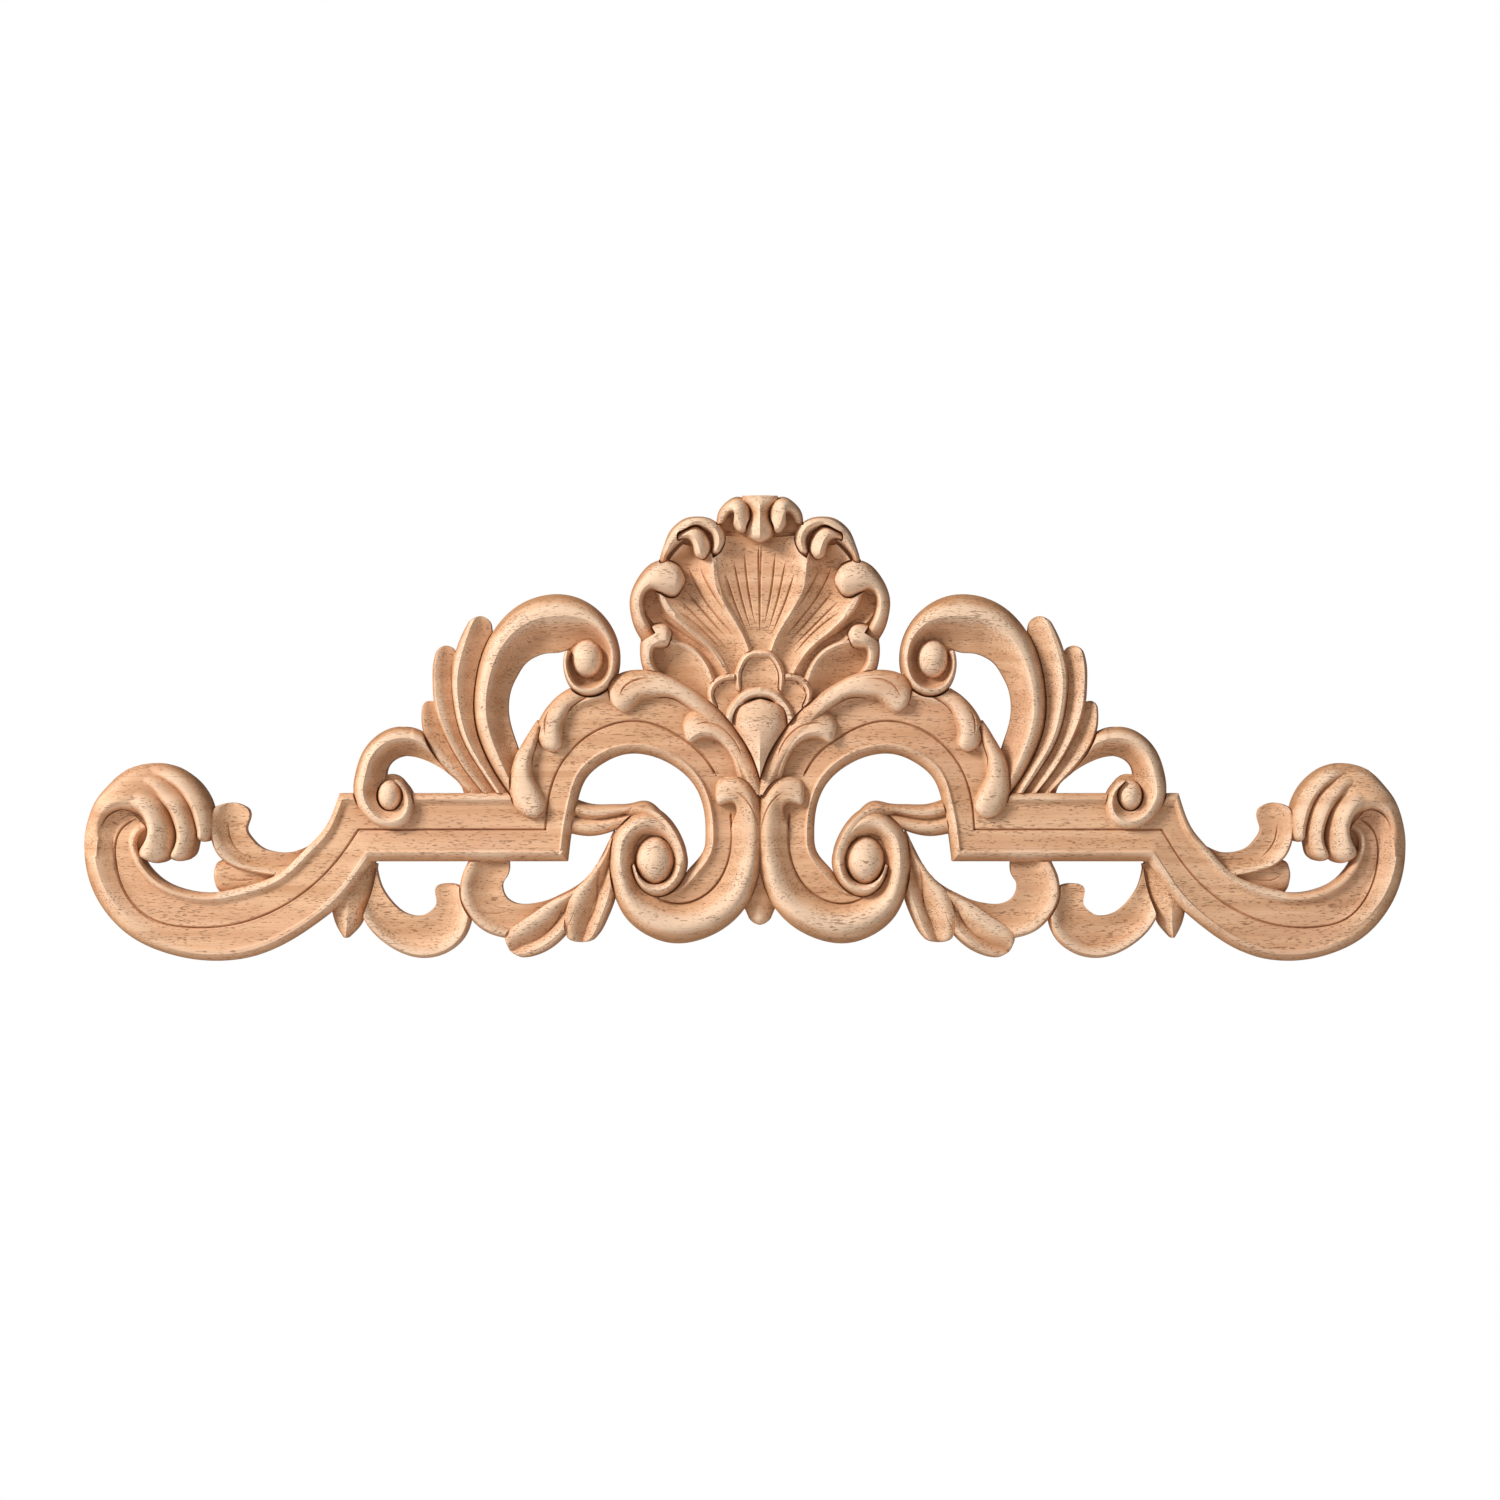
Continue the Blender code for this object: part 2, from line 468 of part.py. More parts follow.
def acanthus():
    """The acanthus leaf between the bar and the volute."""
    return [
        carve("acanthus", HOLLOW, ACANTHUS_FOOT, [12, 12.5, 13, 12, 12, 12, 12], [(470, 850, 506, 850),
            (469.5, 861, 508.3, 867), (464, 873, 505.5, 877), (461, 888, 501.5, 884),
            (463, 903, 503.7, 895.3), (471, 917, 510.5, 902), (484, 929.5, 520, 905),
            (500, 936, 532, 904.5), (514, 938, 545, 901.7), (535, 936, 558, 896.3), (560, 922, 574, 888),
            (588, 903, 592, 872), (606, 882, 604, 852), (620, 856, 614.5, 830)]),
        carve("middle lobe", LOBE, LOBE_FOOT, LOBE_CREST, [(592, 877, 601, 884), (575, 890.5, 587, 900),
            (557.5, 899, 572.5, 917), (545, 906.5, 567.5, 931), (533, 915, 561, 939.5),
            (521, 923, 552, 947), (511, 930, 539, 953.8), (506, 938, 523, 957), (507.5, 948, 512, 954)],
            end=4),
        carve("right lobe", LOBE, LOBE_FOOT, LOBE_CREST, [(611.5, 838, 619, 842), (606.5, 852, 616, 857),
            (596, 867.5, 614.5, 873), (585, 881, 615, 886), (575, 891.5, 614.5, 897),
            (569, 905, 611, 908.5), (566, 919, 605.5, 921.5), (566.5, 931.5, 598.5, 934),
            (570.5, 942, 589.5, 943)], end=4),
    ]


def strap_and_end_leaf():
    """The strap inside the arch and the leaf inside the end scroll."""
    return [
        carve("strap", STRAP, 7, STRAP_CREST, [(573, 799, 568, 832), (592, 805, 590, 835.3),
            (612, 805.3, 614, 830), (632, 804, 636, 822), (652, 804, 656, 824), (668, 815, 660, 830)]),
        carve("lower lobe of the end leaf", LEAF, END_LEAF_FOOT, [8.6, 9.0, 9.4, 9.2],
            [(320, 905, 320, 850), (290, 900, 290, 853), (262, 897, 262, 856), (240, 896, 239, 858),
            (226.5, 895, 227.5, 860), (218.3, 890, 219, 862), (213, 880, 213.7, 868)], end=3),
        carve("end leaf", HOLLOW, END_LEAF_FOOT, [11, 12.5, 12.5, 12.5, 11.5], [(219, 802.5, 243, 803),
            (211, 814, 248.5, 815), (210.6, 830, 245, 828), (214.5, 846, 249.5, 838),
            (221.5, 857.5, 257.5, 846.3), (236, 867, 269, 851.6), (254, 872, 284, 853.3),
            (280, 876, 304.3, 848.3), (312, 870, 329, 834)], start=7),
    ]


def wells():
    """The hollows behind the four curls."""
    return [
        boss("well of the big curl", 588, 660, 22, 28, WELL_FOOT, 9),
        boss("well of the volute", 654, 866, 31, 45, WELL_FOOT, 10),
        boss("well of the small curl", 391, 796, 17, 22, WELL_FOOT, 9),
        boss("well of the end scroll", 128, 830, 26, 26, WELL_FOOT, 10),
    ]


def moulding():
    """The moulding: end scroll, bar and arch."""
    return [
        carve("end scroll", Turning(MOULDING_WIDE, MOULDING, 0.2, 0.5), BAND_FOOT, SCROLL_CREST,
            [(112, 792, 148, 828), (95, 808, 141, 832), (87, 833, 137, 844), (86.3, 856, 141, 856.5),
            (91, 880.5, 148, 867.8), (107, 911.3, 163, 881.7), (133, 936.3, 181, 889.7),
            (165, 951.3, 197, 893.2), (205, 959.3, 213.3, 893.7), (247.5, 956.8, 231.5, 890.7),
            (286, 942, 258, 884), (320, 919.5, 286, 870), (344, 898.3, 310, 846.5), (360, 877, 328, 826),
            (372, 860.5, 341, 794)]),
        carve("bar", MOULDING, BAND_FOOT, BAND_CREST, [(372, 860.5, 341, 794), (470, 860.5, 430, 794),
            (567, 860.5, 520, 794)]),
        carve("arch", Turning(MOULDING, ARCH, 0.45, 0.62), BAND_FOOT, ARCH_CREST, [(567, 860.5, 520, 794),
            (570, 835, 521, 780), (575.3, 806.5, 527, 757), (585, 778.3, 543, 725), (603.5, 762, 570, 702),
            (626.5, 753.3, 612, 690), (651.5, 755.2, 655, 690), (676, 766.5, 695, 702),
            (695, 785, 728, 730), (705, 812, 752, 775), (706.5, 835, 762, 822), (702, 855, 758, 868),
            (691, 868, 748, 895), (684, 877, 722, 920), (673, 888, 690, 925), (660, 890, 660, 925)]),
    ]


def knuckles():
    """The roll of the end scroll and the three knuckles that come out of it."""
    return [
        carve("roll of the end scroll", Turning(FILLET, FINGER, 0.05, 0.35), BAND_FOOT, ROLL_CREST,
            [(86.3, 856, 98.3, 856), (86, 840, 99.5, 840), (89.5, 820.3, 104, 823),
            (97.3, 801, 111.5, 813.5), (109.3, 786.3, 122, 809), (126.5, 771.5, 134, 811),
            (148, 764.5, 142, 816), (170, 766, 147, 826), (190, 777, 148, 834), (204, 795, 149, 838),
            (208, 815, 150, 842)]),
        carve("third knuckle", FINGER, KNUCKLE_FOOT, [10.5, 13.5, 15.8, 16.5, 16.5, 16.3, 16, 15.5, 15],
            [(126, 771, 130, 784), (150, 764.5, 152, 778), (172, 766.5, 166, 782), (188, 774.5, 178, 790),
            (200, 785, 186, 800), (209, 799, 192, 812), (213.3, 815, 196, 825), (213.3, 830, 198, 833),
            (211.5, 842, 198, 842)], end=7, mode=LIFT),
        carve("second knuckle", FINGER, KNUCKLE_FOOT, [11.5, 15, 17, 17.5, 17.8, 17.8, 17.5, 17, 16.5,
            15.5], [(118, 778, 124, 792), (140, 769, 139, 789), (160, 773, 153, 791), (174, 782, 162, 802),
            (184, 791, 169, 811), (191.5, 804, 174, 822), (196, 818, 177, 832), (198, 833, 176.5, 843),
            (196, 848, 172, 852), (192, 861.5, 168, 861)], end=9, mode=LIFT),
        carve("first knuckle", FINGER, KNUCKLE_FOOT, [12, 16, 18, 19, 19.3, 19.3, 19.2, 18.8, 18.3, 17],
            [(103, 795, 114, 812), (116, 782, 124, 808.5), (134, 777, 136, 811.5), (150, 784, 144.5, 818),
            (161, 794, 148, 826.5), (169, 805, 148.5, 833), (174.5, 818, 146, 841),
            (177.5, 832, 141, 848.5), (176.5, 846, 139.5, 854), (171, 863.5, 144, 863)], end=11, mode=LIFT),
    ]


def curls():
    """The big curl and the small curl with their eyes, and the leaf tucked under the big one."""
    return [
        carve("tucked leaf", LEAF, LEAF_FOOT, TUCKED_CREST, [(580, 682, 592, 694), (571, 688.5, 580, 701),
            (560.3, 695.5, 571.5, 707.5), (551.3, 704, 567, 714), (544, 713.8, 564, 722),
            (539, 724.5, 562.5, 730), (538, 735, 563, 738), (541, 744.5, 563, 744.5), (546, 752, 560, 752)],
            end=8),
        carve("big curl", SCROLL, CURL_FOOT, [14, 16, 17, 17, 17, 17], [(513, 797, 524, 790),
            (497, 775, 521, 765), (482, 745, 515, 743), (475, 715, 507.5, 716), (476, 685, 509, 691),
            (482.5, 655, 516, 675), (493.3, 632.5, 523.5, 663.5), (510, 612.8, 533, 656.5),
            (531.5, 599.8, 545, 652.3), (555, 595, 557, 651.5), (580, 599.5, 571, 646.5),
            (602, 615, 585, 640), (616, 639, 600, 647), (619, 662, 604, 662), (611, 686, 598, 676),
            (595, 696, 589, 680), (577, 693, 579, 678), (567, 680, 573, 670), (564, 662, 571, 660),
            (566, 650, 573, 651)], end=2),
        boss("eye of the big curl", 587.5, 659, 15.5, 19, 9, EYE_CREST),
        carve("small curl", SCROLL, [8, 8, 8, 8, 8.5, 10, 11.5, 12.3, 12.5, 12.5, 12.5, 11, 10], [15.6, 16,
            16.5, 17, 17, 17, 17, 17, 17, 17, 17, 17, 17], [(412, 729, 418.5, 755.5),
            (400, 727.5, 408, 755), (380, 734.3, 394, 759), (364.5, 750.5, 386.5, 768),
            (356.5, 773, 384, 780), (355, 792, 381, 790), (363, 811, 383, 802), (376, 823, 387, 809),
            (392, 828, 392, 810), (407, 823, 398, 807), (414, 808, 402, 799), (411, 792, 400, 791),
            (402.5, 782, 396, 788.5), (394.5, 779.5, 393, 786)], end=2),
        boss("eye of the small curl", 390.5, 795.5, 12.3, 15.5, 9, EYE_CREST),
    ]


def arch_leaves():
    """The lowest lobe of the shell's rim and the leaves that lie on the arch."""
    return [
        carve("fourth rim lobe", LEAF, RIM_FOOT, [12.5, 14, 15.5, 16.5, 18, 18.5, 18.5, 18],
            [(650, 680, 663, 676), (643.5, 668, 654, 664), (641, 654, 652.5, 654), (641.5, 642, 655, 648.5),
            (645.5, 631.5, 659, 648), (653, 625.5, 663, 647.5), (663, 624, 667, 646.5),
            (673, 629, 671.5, 643)], end=6),
        carve("hanging leaf", LEAF, LEAF_FOOT, [13.5, 15, 16, 16.5, 17, 17, 17.3, 17.5, 17, 16],
            [(538, 721, 541, 727), (532, 730, 538.5, 737), (526, 740, 536, 747), (519, 752, 533, 755.5),
            (513.5, 767, 532, 766), (511, 782, 534.5, 778), (512, 795, 540, 788.5),
            (516, 806.5, 545.5, 800), (524, 815, 545.5, 809), (531, 819.5, 541, 817)], end=7),
        carve("long leaf", LEAF, LEAF_FOOT, LONG_LEAF_CREST, [(607.5, 696, 617, 712.5),
            (612, 681, 629, 711), (630, 671.5, 641, 701), (650, 671.5, 654, 697.5), (669, 677, 670, 697.5),
            (687, 686.5, 684, 704), (703, 697.5, 697, 714), (722, 714, 711, 731), (738, 734, 726, 748),
            (752, 758, 740, 770), (763, 793, 752, 796)], start=7),
        carve("short leaf", BACK, 10, [16.5, 17.5, 18, 18, 17.8, 17.5, 17, 16.5, 15.5, 14],
            [(682, 733, 688, 744.5), (683.5, 719, 695, 741.5), (692, 709.5, 703, 738.7),
            (705, 707, 712, 739.3), (718, 714, 719, 742), (730, 725, 725.5, 748), (740, 738, 731, 757),
            (748, 752, 735.5, 768), (754, 766, 738.5, 780), (759, 782, 744, 792)], start=7, mode=LIFT),
    ]


def volute():
    """The great volute with its eye, from its own leaf tip down, and the end of the strap on it."""
    return [
        carve("volute", Turning(BACK, Turning(RIM, COIL, 0.25, 0.42), 0.02, 0.10), VOLUTE_FOOT, [16.5, 17.5,
            17.8, 17.5, 17, 17, 17, 17, 17, 17, 17, 17, 17, 17, 17, 17, 17, 16.8, 16.5, 16.5, 16.5, 16.5,
            16.5, 16], [(715, 783, 716, 806), (724, 778.5, 724, 803), (735, 777.5, 733, 802),
            (745, 781, 737, 808), (754, 791, 736, 816), (760, 806, 733, 825), (763, 828, 732, 838),
            (762, 850, 731, 852), (759, 870, 727, 866), (746, 905, 714, 888), (720, 930, 697, 900),
            (683, 942.3, 678, 904), (651, 936, 657, 898), (624.3, 914, 641, 888), (612, 880, 634, 872),
            (611, 855, 633, 852), (615, 835, 637, 840), (628, 819, 644, 834), (645, 809.5, 653, 834),
            (661, 813, 662, 838), (676, 830, 670, 848), (686.5, 857, 674, 863), (684, 876, 669, 876),
            (671, 892, 661, 881), (652, 895, 651, 881), (638, 883, 643, 875), (632, 864, 638, 863)],
            start=5, end=2),
        boss("eye of the volute", 655, 860, 19, 24, 9, 18.5),
        run("end of the strap", FINGER, 9.5, [11, 13.5, 15.5, 17, 17.2, 17, 15], [(620, 810, 6),
            (634, 810.5, 10), (647, 812, 12), (659.5, 818.5, 12), (669, 829, 12), (676.5, 843, 12),
            (680.5, 859, 11), (678.5, 872, 8)], mode=LIFT, taper_in=8),
    ]


def shell_rim():
    """The curled rim of the shell and the tongue at its top."""
    return [
        carve("third rim lobe", Turning(LEAF, DOME, 0.5, 0.8), RIM_FOOT, [12, 14, 15.5, 16.5, 17.5, 18.5,
            19.5, 20, 20, 19.5, 18.5], [(643, 641, 655, 634), (636, 629, 649.5, 625),
            (631.5, 613, 644, 613), (630.7, 600, 643, 601.5), (634, 587.5, 646, 593),
            (640, 576.5, 652, 589.5), (648, 567, 658, 592), (657.5, 561.7, 664, 595.5),
            (668, 561, 670, 597.5), (679, 566, 677, 596), (687, 574, 683.5, 591)], end=9),
        carve("second rim lobe", ROLL, RIM_FOOT, [12, 13, 15, 17, 18, 18.5, 18.5, 18.5, 18.5, 18, 17, 15.5,
            14], [(660, 564, 665.5, 563), (661.5, 556, 667.5, 557), (665, 545.5, 673.5, 549),
            (670.5, 532.5, 681.5, 541), (679, 523.5, 688.5, 534.5), (688, 518.8, 694.5, 529.5),
            (698, 517.7, 700, 527), (708, 519, 705.5, 529.5), (717, 524, 710.5, 533),
            (723, 532, 713.5, 538), (724.5, 542, 714, 544.5), (721, 551, 712.5, 551),
            (716, 560, 710.5, 558)], start=2, taper_out=7),
        carve("second rim finger", FINGER, RIM_FOOT, [14, 17.2, 18.8, 19.3, 19.3, 19, 18],
            [(677, 535, 677.5, 541.5), (687, 530, 685, 538.5), (696, 526.5, 690, 541),
            (703.5, 530.5, 693, 546), (708.5, 538.5, 694, 550), (710.5, 549, 696, 555.5),
            (708.5, 558, 700, 561)], start=2, end=7),
        carve("first rim lobe", LEAF, 9, [13, 15, 17, 19, 20.5, 21, 21, 20.5, 19.5],
            [(717.5, 526, 723, 523.5), (718, 517, 726.5, 517), (721.5, 508.5, 731.5, 513),
            (728.5, 501.5, 734.5, 514.5), (737, 497.6, 734, 518), (746, 501, 733.5, 521.5),
            (750.5, 510.5, 734, 525), (751, 521, 737, 530), (748.5, 531, 741.5, 534.5)], start=1, end=5),
        run("top edge", ROLL, 10, 16.5, [(746, 500.8, 7.5), (752, 500.5, 7.5), (765, 500.5, 7.5)]),
        carve("tongue", KEEL, [15, 15, 13, 11, 10, 10, 10, 10], [17.5, 18.2, 19.7, 20.6, 20.9, 21, 20.6,
            19.5], [(743, 496.8, 777, 496.8), (744.5, 501, 775.5, 501), (749.5, 507, 770.5, 507),
            (751.5, 514, 768.5, 514), (750, 521, 770, 521), (747, 528.5, 773, 528.5), (748, 536, 772, 536),
            (754, 543, 766, 543)], end=6),
    ]


def incised_lines():
    """The lines cut along the moulding and the volute."""
    return [
        incise([(140, 817), (122, 830), (116.5, 855), (127, 892), (150, 917), (190, 927), (240, 923),
            (295, 899), (338, 860), (359, 830)], taper_in=10),
        incise([(359, 829.5), (450, 829.5), (546, 829.5)]),
        incise([(546, 829.5), (548, 805), (556, 775), (575, 747), (605, 727), (640, 721.5), (680, 737),
            (705, 758), (717, 777)], taper_out=4),
        incise([(730.5, 812), (732, 833), (728, 862), (713, 888), (690, 902), (665, 901.5), (650, 894)],
            taper_in=2, taper_out=20),
    ]


def carving():
    """Every strip of the left half, from the back layer to the front one."""
    strips = []
    for form in (shell_floor, rosette, feather_fan, lower_hook, acanthus, strap_and_end_leaf, wells,
                 moulding, knuckles, curls, arch_leaves, volute, shell_rim, incised_lines):
        strips += form()
    return strips


def left_of_seam(line):
    """The stretches of a polyline on the left of the middle line, cut where it crosses."""
    runs, run = [], []
    for k, point in enumerate(line):
        if k and (point[0] > 0) != (line[k - 1][0] > 0):
            before = line[k - 1]
            crossing = before + (point - before) * before[0] / (before[0] - point[0])
            run.append(np.array([0.0, crossing[1]]))
            if point[0] > 0:
                runs.append(run)
                run = []
        if point[0] <= 0:
            run.append(point)
    return [np.array(r) for r in runs + [run] if len(r) > 1]


def shown(line, hidden):
    """The stretches of a polyline that are not hidden, with one hidden point at either end."""
    runs, start = [], None
    for k, drop in enumerate(np.append(hidden[:-1] & hidden[1:], True)):
        if not drop and start is None:
            start = k
        if drop and start is not None:
            runs.append(line[start:k + 1])
            start = None
    return runs


def drawn_lines(strips, index):
    """The lines that the facets follow on one strip: its edges, creases, crest and step foot."""
    strip = strips[index]
    if strip.mode == CUT:
        return [strip.a, strip.b, strip.line(0.0)]
    loop, toe = strip.outline(), strip.toe()
    step = np.abs(surface(strips, loop, SKIN) - surface(strips, toe, SKIN))
    even = ~(step > LEAST_STEP)
    lines = [np.append(loop, loop[:1], axis=0)]
    lines += shown(np.append(toe, toe[:1], axis=0), np.append(even, even[:1]))
    if strip.mode == LIFT:
        lines += valleys(strips, index)
    return lines + [strip.line(v) for v in strip.section.creases or [0.0]]


def valleys(strips, index):
    """The lines in which a strip rises out of the carving below it."""
    strip = strips[index]
    v = np.linspace(-1, 1, VALLEY_PLACES)
    grid = strip.a[:, None] * (1 - v[:, None]) / 2 + strip.b[:, None] * (1 + v[:, None]) / 2
    below = surface(strips[:index], grid.reshape(-1, 2)).reshape(grid.shape[:2])
    own = strip.foot[:, None] + strip.rise[:, None] * strip.section.at(v[None, :], strip.along[:, None])
    proud = np.where(np.isfinite(below), own - below, 1.0)
    lines = []
    for side in (slice(None), slice(None, None, -1)):
        line = []
        for lift, places in zip(proud[:, side], grid[:, side]):
            out = int(np.argmax(lift > 0))
            if lift[0] < 0 < lift[out]:
                share = lift[out - 1] / (lift[out - 1] - lift[out])
                line.append(places[out - 1] + share * (places[out] - places[out - 1]))
            elif line:
                lines.append(np.array(line))
                line = []
        lines.append(np.array(line))
    return [line for line in lines if len(line) > 1]


def half_relief(strips):
    """Facets of the left half in the plane of the back: points, triangles and heights."""
    points, ties = [], []
    for index, strip in enumerate(strips):
        over = [s for s in strips[index + 1:] if s.mode == OVER]
        for line in drawn_lines(strips, index):
            for part in left_of_seam(line):
                hidden = surface(strips, part, SKIN) > surface(strips[:index + 1], part, SKIN) + HIDING
                for s in over:
                    hidden |= s.locate(part, KEEP_OFF)[0]
                for run in shown(part, hidden):
                    ties += [(len(points) + k, len(points) + k + 1) for k in range(len(run) - 1)]
                    points.extend(run)
    top, bottom = max(p[1] for p in points) + SEAM_PITCH, min(p[1] for p in points) - SEAM_PITCH
    seam = [np.array([0.0, z]) for z in np.arange(bottom, top, SEAM_PITCH)]
    ties += [(len(points) + k, len(points) + k + 1) for k in range(len(seam) - 1)]
    points, triangles = triangulate(points + seam, ties, WELD)
    centres = points[triangles].mean(axis=1)
    wood = np.zeros(len(triangles), bool)
    for strip in strips:
        if strip.mode != CUT:
            wood |= strip.locate(centres)[0]
    triangles = without_pinches(triangles[wood & (centres[:, 0] < 0)], points)
    used, triangles = np.unique(triangles, return_inverse=True)
    points, triangles = points[used], triangles.reshape(-1, 3)
    heights = surface(strips, points, SKIN)
    known = np.isfinite(heights)
    for k in np.nonzero(~known)[0]:
        heights[k] = heights[known][np.argmin(np.linalg.norm(points[known] - points[k], axis=1))]
    return points, triangles, heights


def triangulate(points, ties, weld):
    """Delaunay triangles that keep the ties as edges."""
    made = delaunay_2d_cdt([tuple(map(float, p)) for p in points], ties, [], 0, weld)
    found = np.array([tuple(p) for p in made[0]])
    found[np.abs(found[:, 0]) < SKIN, 0] = 0.0
    return found, np.array([tuple(f) for f in made[2]])


def rim_edges(triangles):
    """Edges that only one triangle has, in its own direction."""
    edges = np.concatenate([triangles[:, [0, 1]], triangles[:, [1, 2]], triangles[:, [2, 0]]])
    names, count = np.unique(np.sort(edges, axis=1), axis=0, return_counts=True)
    lone = set(map(tuple, names[count == 1]))
    return [tuple(e) for e in edges if tuple(sorted(e)) in lone]


def without_pinches(triangles, points):
    """Drop the smaller side wherever two parts of the sheet meet in one point only."""
    while True:
        ends = [v for edge in rim_edges(triangles) for v in edge]
        pinched = [v for v in sorted(set(ends)) if ends.count(v) > 2]
        if not pinched:
            return triangles
        around = [k for k, t in enumerate(triangles) if pinched[0] in t]
        fans = []
        for k in around:
            joined = [f for f in fans if any(len(set(triangles[k]) & set(triangles[m])) > 1 for m in f)]
            fans = [f for f in fans if f not in joined] + [sum(joined, [k])]
        size = [sum(abs(cross(points[triangles[k][1]] - points[triangles[k][0]],
                              points[triangles[k][2]] - points[triangles[k][0]])) for k in f) for f in fans]
        gone = [k for n, f in enumerate(fans) if n != int(np.argmax(size)) for k in f]
        triangles = np.delete(triangles, gone, axis=0)


def inside(points, loops):
    """Which points have an odd number of rim edges to their right."""
    odd = np.zeros(len(points), bool)
    for (x0, z0), (x1, z1) in loops:
        crosses = (z0 > points[:, 1]) != (z1 > points[:, 1])
        slope = (x1 - x0) / (z1 - z0) if z1 != z0 else 0.0
        odd ^= crosses & (points[:, 0] < x0 + (points[:, 1] - z0) * slope)
    return odd


def whole_carving(strips):
    """Corners in metres and triangles of the closed solid."""
    points, triangles, heights = half_relief(strips)
    corner = BAR_CORNER * STEP
    right = np.where(points[:, 0] < 0)[0]
    twin = np.arange(len(points))
    twin[right] = len(points) + np.arange(len(right))
    mirrored = points[right] * (-1, 1)
    past = np.clip(mirrored[:, 0] - corner, 0, None)
    mirrored[:, 0] -= past * (1 - RIGHT_END_REACH)
    plan = np.concatenate([points, mirrored])
    front = np.concatenate([triangles, twin[triangles][:, ::-1]])
    heights = np.append(heights, heights[right])
    rim = rim_edges(front)
    foot = {v: len(plan) + k for k, v in enumerate(sorted({v for e in rim for v in e}))}
    ring = list(foot)
    order = {v: k for k, v in enumerate(ring)}
    back_plan, back = triangulate(plan[ring], [(order[i], order[j]) for i, j in rim], TINY)
    loops = [(plan[i], plan[j]) for i, j in rim]
    back = back[inside(back_plan[back].mean(axis=1), loops)]
    named = {tuple(np.round(p, 4)): foot[v] for v, p in zip(ring, np.float32(plan[ring]).astype(float))}
    back = [[named[tuple(np.round(p, 4))] for p in back_plan[f][::-1]] for f in back]
    walls = [f for i, j in rim for f in ((j, i, foot[i]), (j, foot[i], foot[j]))]
    corners = np.zeros((len(plan) + len(ring), 3))
    corners[:len(plan), [0, 2]] = plan
    corners[:len(plan), 1] = -heights
    corners[len(plan):, [0, 2]] = plan[ring]
    return corners / 1000, [tuple(map(int, f)) for f in front] + walls + [tuple(f) for f in back]


def wood_material():
    """Raw pale wood."""
    material = bpy.data.materials.new("pale_wood")
    material.use_nodes = True
    shader = material.node_tree.nodes["Principled BSDF"]
    shader.inputs["Base Color"].default_value = WOOD_COLOUR
    shader.inputs["Roughness"].default_value = WOOD_ROUGHNESS
    shader.inputs["Metallic"].default_value = 0.0
    return material


def main():
    """Clear the scene and build the headpiece."""
    for thing in list(bpy.data.objects):
        bpy.data.objects.remove(thing, do_unlink=True)
    corners, faces = whole_carving(carving())
    mesh = bpy.data.meshes.new("carved_headpiece")
    mesh.from_pydata([tuple(c) for c in corners], [], faces)
    shape = bmesh.new()
    shape.from_mesh(mesh)
    bmesh.ops.recalc_face_normals(shape, faces=shape.faces)
    shape.to_mesh(mesh)
    shape.free()
    mesh.shade_smooth()
    mesh.set_sharp_from_angle(angle=CREASE_ANGLE)
    mesh.materials.append(wood_material())
    headpiece = bpy.data.objects.new("carved_headpiece", mesh)
    bpy.context.scene.collection.objects.link(headpiece)


if __name__ == "__main__":
    main()
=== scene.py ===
"""Looks of the carved headpiece: the finished relief, its raw wood and the studio around it.

The relief is a stack of strips laid over each other, each lofted across its own ribs with a profile.
The left half is drawn; the right half is its mirror image, drawn in a little at the end scroll.
Stations are read off the pattern's squared paper, x to the right and y down, in steps.
Heights are millimetres over the flat back. The origin is on the back, and the front faces -Y.
"""
import logging
import math
from dataclasses import dataclass
from enum import Enum
from typing import Iterable, Optional, Protocol, Sequence, Union

import bmesh
import bpy
import numpy as np
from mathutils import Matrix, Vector
from mathutils.geometry import delaunay_2d_cdt


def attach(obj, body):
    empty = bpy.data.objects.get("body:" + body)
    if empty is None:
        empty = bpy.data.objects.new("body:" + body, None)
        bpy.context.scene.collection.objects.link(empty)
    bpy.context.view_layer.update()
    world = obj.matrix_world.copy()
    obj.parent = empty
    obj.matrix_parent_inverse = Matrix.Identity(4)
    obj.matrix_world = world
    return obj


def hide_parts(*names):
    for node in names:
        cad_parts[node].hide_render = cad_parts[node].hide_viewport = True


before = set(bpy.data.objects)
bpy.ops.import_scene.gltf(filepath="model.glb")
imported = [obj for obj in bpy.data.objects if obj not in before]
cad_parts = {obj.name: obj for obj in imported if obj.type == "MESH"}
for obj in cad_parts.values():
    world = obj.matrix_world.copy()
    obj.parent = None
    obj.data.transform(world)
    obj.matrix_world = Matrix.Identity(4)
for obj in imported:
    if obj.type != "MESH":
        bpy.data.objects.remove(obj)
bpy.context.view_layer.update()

LOG = logging.getLogger("headpiece")
NODE = "carved_headpiece"
BODY = "root"
HOLLOW_LAYER = "hollow"
MM = 0.001
TINY = 1e-6
GROOVE_WIDTH = 3.4   # steps, width of the incised lines
GROOVE_DEPTH = 1.5   # mm
CREASE_ANGLE = 0.75  # rad, sharper edges stay crisp

Heights = Union[float, Sequence[float]]
Rib = tuple[float, float, float, float]
Colour = tuple[float, float, float, float]
Scale = tuple[float, float, float]
Span = tuple[float, float]
Socket = bpy.types.NodeSocket
Input = Union[float, Colour, Scale, Socket]


class Mode(Enum):
    """How a strip meets the carving below it."""

    OVER = "lies over it"
    LIFT = "rises out of it"
    CUT = "is cut into it"


